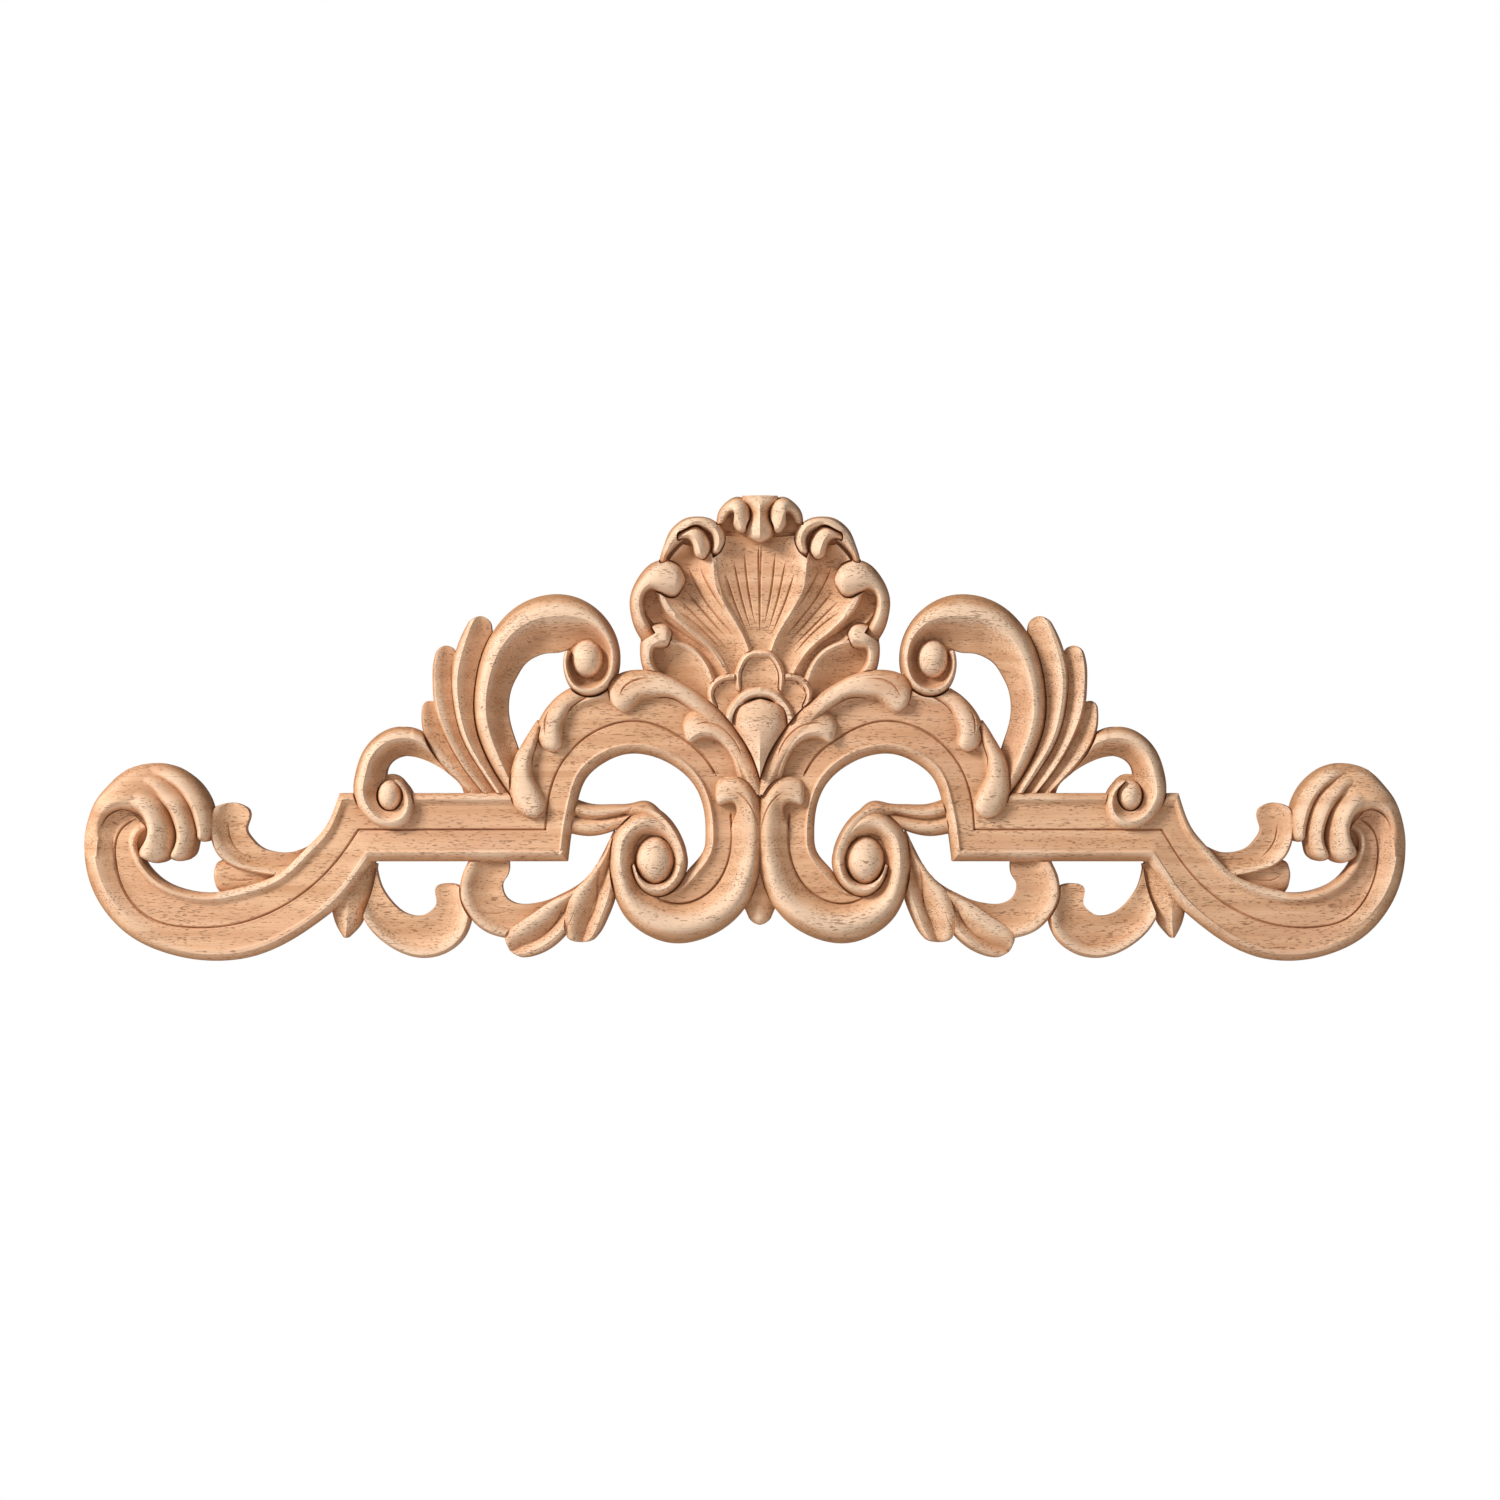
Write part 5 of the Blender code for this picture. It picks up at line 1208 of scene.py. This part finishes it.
@dataclass(frozen=True)
class Volute:
    """The great volute with its eye, from its own leaf tip down, and the end of the strap on it."""

    volute_foot: Heights = (13, 13, 11.5, 10) + (9.5,) * 9  # mm, leaf tip to eye
    volute_crest: Heights = (16.5, 17.5, 17.8, 17.5) + (17,) * 13 + (16.8,) + (16.5,) * 5 + (16,)  # mm

    def lay(self, board: Board) -> None:
        """Lay the forms, the back ones first.

        Args:
            board: what they are carved on.
        """
        board.carve("volute", Turning(BACK, Turning(RIM, COIL, 0.25, 0.42), 0.02, 0.10), self.volute_foot,
            self.volute_crest, [(715, 783, 716, 806), (724, 778.5, 724, 803), (735, 777.5, 733, 802),
            (745, 781, 737, 808), (754, 791, 736, 816), (760, 806, 733, 825), (763, 828, 732, 838),
            (762, 850, 731, 852), (759, 870, 727, 866), (746, 905, 714, 888), (720, 930, 697, 900),
            (683, 942.3, 678, 904), (651, 936, 657, 898), (624.3, 914, 641, 888), (612, 880, 634, 872),
            (611, 855, 633, 852), (615, 835, 637, 840), (628, 819, 644, 834), (645, 809.5, 653, 834),
            (661, 813, 662, 838), (676, 830, 670, 848), (686.5, 857, 674, 863), (684, 876, 669, 876),
            (671, 892, 661, 881), (652, 895, 651, 881), (638, 883, 643, 875), (632, 864, 638, 863)],
            start=5, end=2)
        board.boss("eye of the volute", 655, 860, 19, 24, 9, 18.5)
        board.run("end of the strap", FINGER, 9.5, [11, 13.5, 15.5, 17, 17.2, 17, 15], [(620, 810, 6),
            (634, 810.5, 10), (647, 812, 12), (659.5, 818.5, 12), (669, 829, 12), (676.5, 843, 12),
            (680.5, 859, 11), (678.5, 872, 8)], mode=Mode.LIFT, taper_in=8)


@dataclass(frozen=True)
class ShellRim:
    """The curled rim of the shell and the tongue at its top."""

    def lay(self, board: Board) -> None:
        """Lay the forms, the back ones first.

        Args:
            board: what they are carved on.
        """
        board.carve("third rim lobe", Turning(LEAF, DOME, 0.5, 0.8), LEVELS.rim_foot, [12, 14, 15.5, 16.5,
            17.5, 18.5, 19.5, 20, 20, 19.5, 18.5], [(643, 641, 655, 634), (636, 629, 649.5, 625),
            (631.5, 613, 644, 613), (630.7, 600, 643, 601.5), (634, 587.5, 646, 593),
            (640, 576.5, 652, 589.5), (648, 567, 658, 592), (657.5, 561.7, 664, 595.5),
            (668, 561, 670, 597.5), (679, 566, 677, 596), (687, 574, 683.5, 591)], end=9)
        board.carve("second rim lobe", ROLL, LEVELS.rim_foot, [12, 13, 15, 17, 18, 18.5, 18.5, 18.5, 18.5,
            18, 17, 15.5, 14], [(660, 564, 665.5, 563), (661.5, 556, 667.5, 557), (665, 545.5, 673.5, 549),
            (670.5, 532.5, 681.5, 541), (679, 523.5, 688.5, 534.5), (688, 518.8, 694.5, 529.5),
            (698, 517.7, 700, 527), (708, 519, 705.5, 529.5), (717, 524, 710.5, 533),
            (723, 532, 713.5, 538), (724.5, 542, 714, 544.5), (721, 551, 712.5, 551),
            (716, 560, 710.5, 558)], start=2, taper_out=7)
        board.carve("second rim finger", FINGER, LEVELS.rim_foot, [14, 17.2, 18.8, 19.3, 19.3, 19, 18],
            [(677, 535, 677.5, 541.5), (687, 530, 685, 538.5), (696, 526.5, 690, 541),
            (703.5, 530.5, 693, 546), (708.5, 538.5, 694, 550), (710.5, 549, 696, 555.5),
            (708.5, 558, 700, 561)], start=2, end=7)
        board.carve("first rim lobe", LEAF, 9, [13, 15, 17, 19, 20.5, 21, 21, 20.5, 19.5],
            [(717.5, 526, 723, 523.5), (718, 517, 726.5, 517), (721.5, 508.5, 731.5, 513),
            (728.5, 501.5, 734.5, 514.5), (737, 497.6, 734, 518), (746, 501, 733.5, 521.5),
            (750.5, 510.5, 734, 525), (751, 521, 737, 530), (748.5, 531, 741.5, 534.5)], start=1, end=5)
        board.run("top edge", ROLL, 10, 16.5, [(746, 500.8, 7.5), (752, 500.5, 7.5), (765, 500.5, 7.5)])
        board.carve("tongue", KEEL, [15, 15, 13, 11, 10, 10, 10, 10], [17.5, 18.2, 19.7, 20.6, 20.9, 21,
            20.6, 19.5], [(743, 496.8, 777, 496.8), (744.5, 501, 775.5, 501), (749.5, 507, 770.5, 507),
            (751.5, 514, 768.5, 514), (750, 521, 770, 521), (747, 528.5, 773, 528.5), (748, 536, 772, 536),
            (754, 543, 766, 543)], end=6)


@dataclass(frozen=True)
class IncisedLines:
    """The lines cut along the moulding and the volute."""

    def lay(self, board: Board) -> None:
        """Lay the forms, the back ones first.

        Args:
            board: what they are carved on.
        """
        board.incise([(140, 817), (122, 830), (116.5, 855), (127, 892), (150, 917), (190, 927), (240, 923),
            (295, 899), (338, 860), (359, 830)], taper_in=10)
        board.incise([(359, 829.5), (450, 829.5), (546, 829.5)])
        board.incise([(546, 829.5), (548, 805), (556, 775), (575, 747), (605, 727), (640, 721.5),
            (680, 737), (705, 758), (717, 777)], taper_out=4)
        board.incise([(730.5, 812), (732, 833), (728, 862), (713, 888), (690, 902), (665, 901.5),
            (650, 894)], taper_in=2, taper_out=20)


@dataclass(frozen=True)
class FineLines:
    """The gouge lines that fill the flutes, and the veins of the leaves."""

    line: tuple[float, float] = (3.2, 1.15)    # width in steps and depth in mm of a gouge line
    short_line: tuple[float, float] = (3.2, 0.5)
    vein: tuple[float, float] = (3.0, 1.0)     # the same of a vein
    shallow_vein: tuple[float, float] = (3.0, 0.9)
    broad_vein: tuple[float, float] = (3.4, 1.0)
    thin_vein: tuple[float, float] = (2.8, 0.9)
    crease: tuple[float, float] = (2.6, 0.6)   # the same of a soft crease
    faint_crease: tuple[float, float] = (2.6, 0.45)
    faintest_crease: tuple[float, float] = (2.4, 0.4)

    def lay(self, board: Board) -> None:
        """Lay the forms, the back ones first.

        Args:
            board: what they are carved on.
        """
        for size, taper_in, taper_out, path in (
                (self.line, 14, 22, [(758.5, 543), (759.5, 590), (760.5, 640)]),
                (self.line, 14, 22, [(744.5, 552), (748.5, 590), (756, 627)]),
                (self.line, 14, 22, [(734, 560), (741.5, 597), (752, 632)]),
                (self.line, 14, 20, [(725, 572), (735, 603), (748.5, 635)]),
                (self.line, 12, 16, [(700, 568), (712.5, 592), (725, 612)]),
                (self.line, 12, 18, [(688, 567), (703, 597), (719, 618), (734, 636)]),
                (self.line, 12, 18, [(687, 592), (704, 612), (729, 640)]),
                (self.line, 12, 18, [(681, 601), (702, 622), (727, 647)]),
                (self.line, 12, 18, [(680, 612), (702, 629), (726, 654)]),
                (self.line, 12, 14, [(661, 617), (683, 634), (698, 644), (712, 657)]),
                (self.short_line, 12, 12, [(690, 640), (706, 652), (715, 664)]),
                (self.short_line, 10, 10, [(676, 646), (692, 655), (704, 669)]),
                (self.vein, 9, 9, [(550.5, 709), (547, 718), (546, 728), (546.5, 737)]),
                (self.vein, 8, 16, [(620, 697), (624.5, 688), (635, 681), (655, 678.5)]),
                (self.thin_vein, 12, 8, [(695, 726), (702, 723), (712, 724), (722, 728), (732, 737),
                                         (738, 746), (742.5, 757)]),
                (self.thin_vein, 10, 12, [(735, 791), (743, 796), (748.5, 802), (753.5, 811), (757, 822),
                                          (759, 836)]),
                (self.thin_vein, 6, 3, [(690.5, 743), (700, 751), (709, 762), (717, 777)]),
                (self.shallow_vein, 10, 12, [(228.5, 822), (229.5, 834), (236, 848), (248, 858)]),
                (self.crease, 4, 16, [(224, 862), (238, 867.5), (256, 869.5), (272, 869)]),
                (self.crease, 10, 14, [(222.5, 874), (232, 879.5), (246, 880.5), (260, 878)]),
                (self.vein, 8, 14, [(564, 905), (559.5, 917), (551, 929), (540, 938), (526, 945)]),
                (self.broad_vein, 10, 12, [(601.5, 864), (598, 878), (597.5, 890), (596, 905), (591.5, 917),
                                           (586, 927)]),
                (self.faint_crease, 12, 10, [(474, 909), (490, 914), (500, 913.5), (510, 911)]),
                (self.faintest_crease, 2, 20, [(565.5, 931), (571, 921), (577, 905)])):
            board.incise(path, *size, taper_in, taper_out)


class Shader:
    """Adds nodes to a material and links them."""

    def __init__(self, name: str) -> None:
        """Start a material.

        Args:
            name: what it is called.
        """
        self.material = bpy.data.materials.new(name)
        self.material.use_nodes = True
        self.tree = self.material.node_tree
        self.body = self.tree.nodes["Principled BSDF"]

    def add(self, kind: str, inputs: Optional[dict[Union[int, str], Input]] = None,
            **settings: str) -> bpy.types.Node:
        """A new node.

        Args:
            kind: its Blender type.
            inputs: numbers or sockets for its inputs, by name or number.
            settings: its own settings.

        Returns:
            The node.
        """
        node = self.tree.nodes.new(kind)
        for name, value in settings.items():
            setattr(node, name, value)
        for name, value in (inputs or {}).items():
            self.join(value, node.inputs[name])
        return node

    def join(self, value: Input, socket: Socket) -> None:
        """Link a socket to an input, or set the input to a number.

        Args:
            value: the socket or number.
            socket: the input.
        """
        if isinstance(value, Socket):
            self.tree.links.new(value, socket)
        else:
            socket.default_value = value

    def math(self, operation: str, first: Input, second: Input = 0.0) -> Socket:
        """The result of a sum on one or two values."""
        return self.add("ShaderNodeMath", {0: first, 1: second}, operation=operation).outputs[0]

    def mix(self, share: Input, first: Input, second: Input) -> Socket:
        """Two colours mixed by a share."""
        return self.add("ShaderNodeMix", {0: share, 6: first, 7: second}, data_type="RGBA").outputs[2]


@dataclass(frozen=True)
class RawWood:
    """Raw sanded rubberwood, its grain along the length, glued up from narrow boards.

    Args:
        pale: colour of the early wood.
        dark: colour of the late wood.
        blush: colour of the redder patches.
        pore: colour inside the pores.
        glue: colour of the glue lines.
        painted_highlight: colour of the painted highlight on the ridges.
        shade: colour of the painted shade in the hollows.
        streak_scale: streaks to a metre along X, Y and Z.
        fibre_scale: fibres, likewise.
        patch_scale: patches, likewise.
        pore_scale: pores, likewise.
        crowd_scale: crowds of pores, likewise.
        streak_span: noise that stands for all dark and for all pale.
        patch_span: noise where the patches start and are full.
        fibre_span: noise where the fibres start and are full.
        ridge_span: depths in mm where the painted highlight starts and is full.
        hollow_span: depths in mm where the painted shade starts and is full.
        patch_most: strongest share of the patches.
        fibre_most: strongest share of the fibres.
        relief_most: strongest share of the painted highlight on ridges and of the painted shade in hollows.
        pore_most: strongest share of the pores.
        glue_most: strongest share of the glue lines.
        pore_bar: noise that a pore has to pass.
        pore_crowding: how far the bar falls in a crowd.
        pore_edge: noise over which a pore fades in.
        joints: heights of the glue lines, in m.
        joint_half: half the breadth of a glue line, in m.
        joint_waver: how far a glue line wanders, in m.
        roughness: of the bare surface.
        roughness_spread: how far it wanders with the grain.
        specular: its shine.
        bump_strength: of the fibres and pores.
        bump_depth: height of the fibres, in m.
    """

    pale: Colour = (0.79, 0.482, 0.288, 1.0)
    dark: Colour = (0.59, 0.308, 0.158, 1.0)
    blush: Colour = (0.66, 0.355, 0.210, 1.0)
    pore: Colour = (0.23, 0.095, 0.040, 1.0)
    glue: Colour = (0.30, 0.155, 0.085, 1.0)
    # painted highlight: ridges are coloured lighter where they stand proud of the carving round them
    painted_highlight: Colour = (0.89, 0.67, 0.485, 1.0)
    # painted shade: hollows are coloured darker where they lie under the carving round them
    shade: Colour = (0.39, 0.170, 0.062, 1.0)
    streak_scale: Scale = (9.0, 120.0, 190.0)
    fibre_scale: Scale = (60.0, 900.0, 1500.0)
    patch_scale: Scale = (14.0, 24.0, 30.0)
    pore_scale: Scale = (330.0, 2300.0, 2300.0)
    crowd_scale: Scale = (25.0, 160.0, 160.0)
    streak_span: Span = (0.32, 0.66)
    patch_span: Span = (0.46, 0.70)
    fibre_span: Span = (0.50, 0.70)
    ridge_span: Span = (-0.25, -1.9)
    hollow_span: Span = (0.15, 2.4)
    patch_most: float = 0.60
    fibre_most: float = 0.60
    relief_most: float = 0.62
    pore_most: float = 0.70
    glue_most: float = 0.34
    pore_bar: float = 0.77
    pore_crowding: float = 0.28
    pore_edge: float = 0.06
    joints: tuple[float, ...] = (0.0309, 0.0041, -0.0218, -0.0545)
    joint_half: float = 0.00028
    joint_waver: float = 0.0004
    roughness: float = 0.58
    roughness_spread: float = 0.14
    specular: float = 0.32
    bump_strength: float = 0.7
    bump_depth: float = 0.0003

    def material(self) -> bpy.types.Material:
        """Lay the colours over each other and set the surface.

        Returns:
            The finished material.
        """
        shader = Shader("raw wood")
        place = shader.add("ShaderNodeTexCoord").outputs["Object"]
        streaks = self.noise(shader, place, self.streak_scale, detail=5.0)
        fibres = self.noise(shader, place, self.fibre_scale, detail=3.0)
        patches = self.noise(shader, place, self.patch_scale, detail=2.0)
        pores = self.pores(shader, place)
        hollow = shader.add("ShaderNodeAttribute", attribute_name=HOLLOW_LAYER).outputs["Fac"]
        tone = shader.mix(self.ramp(shader, streaks, *self.streak_span), self.dark, self.pale)
        for colour, share, most in (
                (self.blush, self.ramp(shader, patches, *self.patch_span), self.patch_most),
                (self.dark, self.ramp(shader, fibres, *self.fibre_span), self.fibre_most),
                # painted highlight on the ridges and painted shade in the hollows, both set by each point's
                # depth under the carving round it
                (self.painted_highlight, self.ramp(shader, hollow, *self.ridge_span), self.relief_most),
                (self.shade, self.ramp(shader, hollow, *self.hollow_span), self.relief_most),
                (self.pore, pores, self.pore_most),
                (self.glue, self.glue_lines(shader, place, streaks), self.glue_most)):
            tone = shader.mix(shader.math("MULTIPLY", share, most), tone, colour)
        shader.join(tone, shader.body.inputs["Base Color"])
        rough = shader.math("ADD", shader.math("MULTIPLY", fibres, self.roughness_spread), self.roughness)
        shader.join(rough, shader.body.inputs["Roughness"])
        shader.join(self.specular, shader.body.inputs["Specular IOR Level"])
        shader.join(self.relief(shader, streaks, fibres, pores), shader.body.inputs["Normal"])
        return shader.material

    def noise(self, shader: Shader, place: Socket, scale: Scale, detail: float) -> Socket:
        """Cloudy noise, scaled apart along the three axes."""
        spread = shader.add("ShaderNodeVectorMath", {0: place, 1: scale}, operation="MULTIPLY").outputs[0]
        return shader.add("ShaderNodeTexNoise", {"Vector": spread, "Scale": 1.0, "Detail": detail}).outputs[0]

    def ramp(self, shader: Shader, value: Socket, low: float, high: float) -> Socket:
        """A value stretched from low to high onto 0 to 1."""
        ends = {"Value": value, "From Min": low, "From Max": high}
        return shader.add("ShaderNodeMapRange", ends).outputs[0]

    def pores(self, shader: Shader, place: Socket) -> Socket:
        """Short dashes along the grain, thicker in some streaks than in others.

        Args:
            shader: the material.
            place: Object coordinates.

        Returns:
            1 inside a pore and 0 beside it.
        """
        dashes = self.noise(shader, place, self.pore_scale, detail=1.0)
        crowd = self.noise(shader, place, self.crowd_scale, detail=1.0)
        bar = shader.math("SUBTRACT", self.pore_bar, shader.math("MULTIPLY", crowd, self.pore_crowding))
        return self.ramp(shader, shader.math("SUBTRACT", dashes, bar), 0.0, self.pore_edge)

    def glue_lines(self, shader: Shader, place: Socket, waver: Socket) -> Socket:
        """Thin dark lines at the joints between the boards.

        Args:
            shader: the material.
            place: Object coordinates.
            waver: noise that a line wanders with.

        Returns:
            1 on a line and 0 beside it.
        """
        height = shader.add("ShaderNodeSeparateXYZ", {0: place}).outputs[2]
        height = shader.math("ADD", height, shader.math("MULTIPLY", waver, self.joint_waver))
        total: Input = 0.0
        for joint in self.joints:
            off = shader.math("ABSOLUTE", shader.math("SUBTRACT", height, joint))
            total = shader.math("ADD", total, self.ramp(shader, off, self.joint_half, 0.0))
        return total

    def relief(self, shader: Shader, streaks: Socket, fibres: Socket, pores: Socket) -> Socket:
        """The surface's own small relief.

        Args:
            shader: the material.
            streaks: noise that stands proud.
            fibres: finer noise that stands proud.
            pores: where the surface is sunk.

        Returns:
            The normal.
        """
        height = shader.math("SUBTRACT", shader.math("ADD", streaks, fibres), pores)
        sizes = {"Height": height, "Strength": self.bump_strength, "Distance": self.bump_depth}
        return shader.add("ShaderNodeBump", sizes).outputs[0]


class Group(Protocol):
    """A sub-assembly of the carving."""

    def lay(self, board: Board) -> None:
        """Lay its forms on the board."""


@dataclass(frozen=True)
class CarvedHeadpiece:
    """The carved board as it is seen.

    Args:
        groups: its sub-assemblies, from the back layer to the front one.
        finish: its surface.
        name: what its object is called.
    """

    groups: tuple[Group, ...] = (
        ShellFloor(), Rosette(), FeatherFan(), LowerHook(), Acanthus(), StrapAndEndLeaf(), Wells(),
        Moulding(), Knuckles(), Curls(), ArchLeaves(), Volute(), ShellRim(), IncisedLines(), FineLines())
    finish: RawWood = RawWood()
    name: str = "headpiece_carving"

    def build(self) -> bpy.types.Object:
        """Carve and dress the board.

        Returns:
            Its object.
        """
        board = Board()
        for group in self.groups:
            laid = len(board.strips)
            group.lay(board)
            names = ", ".join(strip.name for strip in board.strips[laid:])
            LOG.info("%s: %s", type(group).__name__, names)
        shape = ReliefCutter(board).solid()
        mesh = bpy.data.meshes.new(self.name)
        shape.to_mesh(mesh)
        shape.free()
        mesh.shade_smooth()
        mesh.set_sharp_from_angle(angle=CREASE_ANGLE)
        mesh.materials.append(self.finish.material())
        piece = bpy.data.objects.new(self.name, mesh)
        bpy.context.scene.collection.objects.link(piece)
        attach(piece, BODY)
        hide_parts(NODE)
        return piece


@dataclass(frozen=True)
class Floor:
    """A pale floor below the picture.

    Args:
        level: its height, in m.
        half: half its side, in m.
        far_edge: where it ends behind the carving, out of the picture, in m.
        colour: of its surface.
        roughness: of its surface.
    """

    level: float = -0.55
    half: float = 2.6
    far_edge: float = 0.25
    colour: Colour = (0.85, 0.85, 0.85, 1.0)
    roughness: float = 0.9

    def build(self) -> bpy.types.Object:
        """Lay the floor.

        Returns:
            Its object.
        """
        shape = bmesh.new()
        bmesh.ops.create_grid(shape, x_segments=1, y_segments=1, size=self.half)
        bmesh.ops.translate(shape, verts=shape.verts, vec=(0.0, self.far_edge - self.half, self.level))
        mesh = bpy.data.meshes.new("floor")
        shape.to_mesh(mesh)
        shape.free()
        shader = Shader("pale floor")
        shader.join(self.colour, shader.body.inputs["Base Color"])
        shader.join(self.roughness, shader.body.inputs["Roughness"])
        mesh.materials.append(shader.material)
        floor = bpy.data.objects.new("floor", mesh)
        bpy.context.scene.collection.objects.link(floor)
        return floor


@dataclass(frozen=True)
class Lamp:
    """A square soft light.

    Args:
        name: what it is called.
        place: where it stands, in m.
        size: its side, in m.
        power: in W.
    """

    name: str
    place: tuple[float, float, float]
    size: float
    power: float

    def put_up(self, aim: Vector) -> None:
        """Stand it in its place.

        Args:
            aim: the point that it faces.
        """
        lamp = bpy.data.lights.new(self.name, "AREA")
        lamp.size = self.size
        lamp.energy = self.power
        holder = bpy.data.objects.new(self.name, lamp)
        holder.location = self.place
        holder.rotation_euler = (aim - Vector(self.place)).to_track_quat("-Z", "Y").to_euler()
        bpy.context.scene.collection.objects.link(holder)


@dataclass(frozen=True)
class Studio:
    """White surroundings with a soft light from the upper left, as in the photo.

    Args:
        lamps: the key light and the fill.
        seen: colour of the surroundings as the camera sees them.
        sky: colour of the light that they give.
        sky_strength: its strength.
        frame_width: m that the picture takes in at the carving.
        lens: mm, its focal length.
        sensor: mm, its width.
        aim: the point at the middle of the picture.
    """

    lamps: tuple[Lamp, ...] = (Lamp("key", (-2.1, -1.4, 1.5), 0.8, 102.0),
                               Lamp("fill", (1.2, -2.8, 0.6), 2.5, 9.0))
    seen: Colour = (1.0, 1.0, 1.0, 1.0)
    sky: Colour = (1.0, 0.98, 0.96, 1.0)
    sky_strength: float = 0.20
    frame_width: float = 0.681
    lens: float = 85.0
    sensor: float = 36.0
    aim: tuple[float, float, float] = (-0.0045, -0.008, -0.0100)

    def set_up(self) -> None:
        """Put up the lights, the surroundings and the camera."""
        for lamp in self.lamps:
            lamp.put_up(Vector(self.aim))
        self.surround()
        self.camera()

    def surround(self) -> None:
        """Plain white all round, which lights the carving less than it shows."""
        world = bpy.data.worlds.new("white")
        world.use_nodes = True
        nodes, links = world.node_tree.nodes, world.node_tree.links
        nodes.clear()
        seen, lit, path, mix, out = (nodes.new(kind) for kind in (
            "ShaderNodeBackground", "ShaderNodeBackground", "ShaderNodeLightPath", "ShaderNodeMixShader",
            "ShaderNodeOutputWorld"))
        seen.inputs["Color"].default_value = self.seen
        lit.inputs["Color"].default_value = self.sky
        lit.inputs["Strength"].default_value = self.sky_strength
        links.new(path.outputs["Is Camera Ray"], mix.inputs[0])
        links.new(lit.outputs[0], mix.inputs[1])
        links.new(seen.outputs[0], mix.inputs[2])
        links.new(mix.outputs[0], out.inputs[0])
        bpy.context.scene.world = world
        bpy.context.scene.view_settings.view_transform = "Standard"

    def camera(self) -> None:
        """The camera straight in front of the carving."""
        camera = bpy.data.objects.new("camera", bpy.data.cameras.new("camera"))
        camera.data.lens = self.lens
        camera.data.sensor_width = self.sensor
        distance = self.frame_width * self.lens / self.sensor
        camera.location = Vector(self.aim) - Vector((0.0, distance, 0.0))
        camera.rotation_euler = (math.pi / 2, 0.0, 0.0)
        bpy.context.scene.collection.objects.link(camera)
        bpy.context.scene.camera = camera


def main() -> None:
    """Build the carving and its studio."""
    logging.basicConfig(level=logging.INFO, format="%(message)s")
    for piece in (CarvedHeadpiece().build(), Floor().build()):
        LOG.info("%s: %d faces", piece.name, len(piece.data.polygons))
    Studio().set_up()


if __name__ == "__main__":
    main()
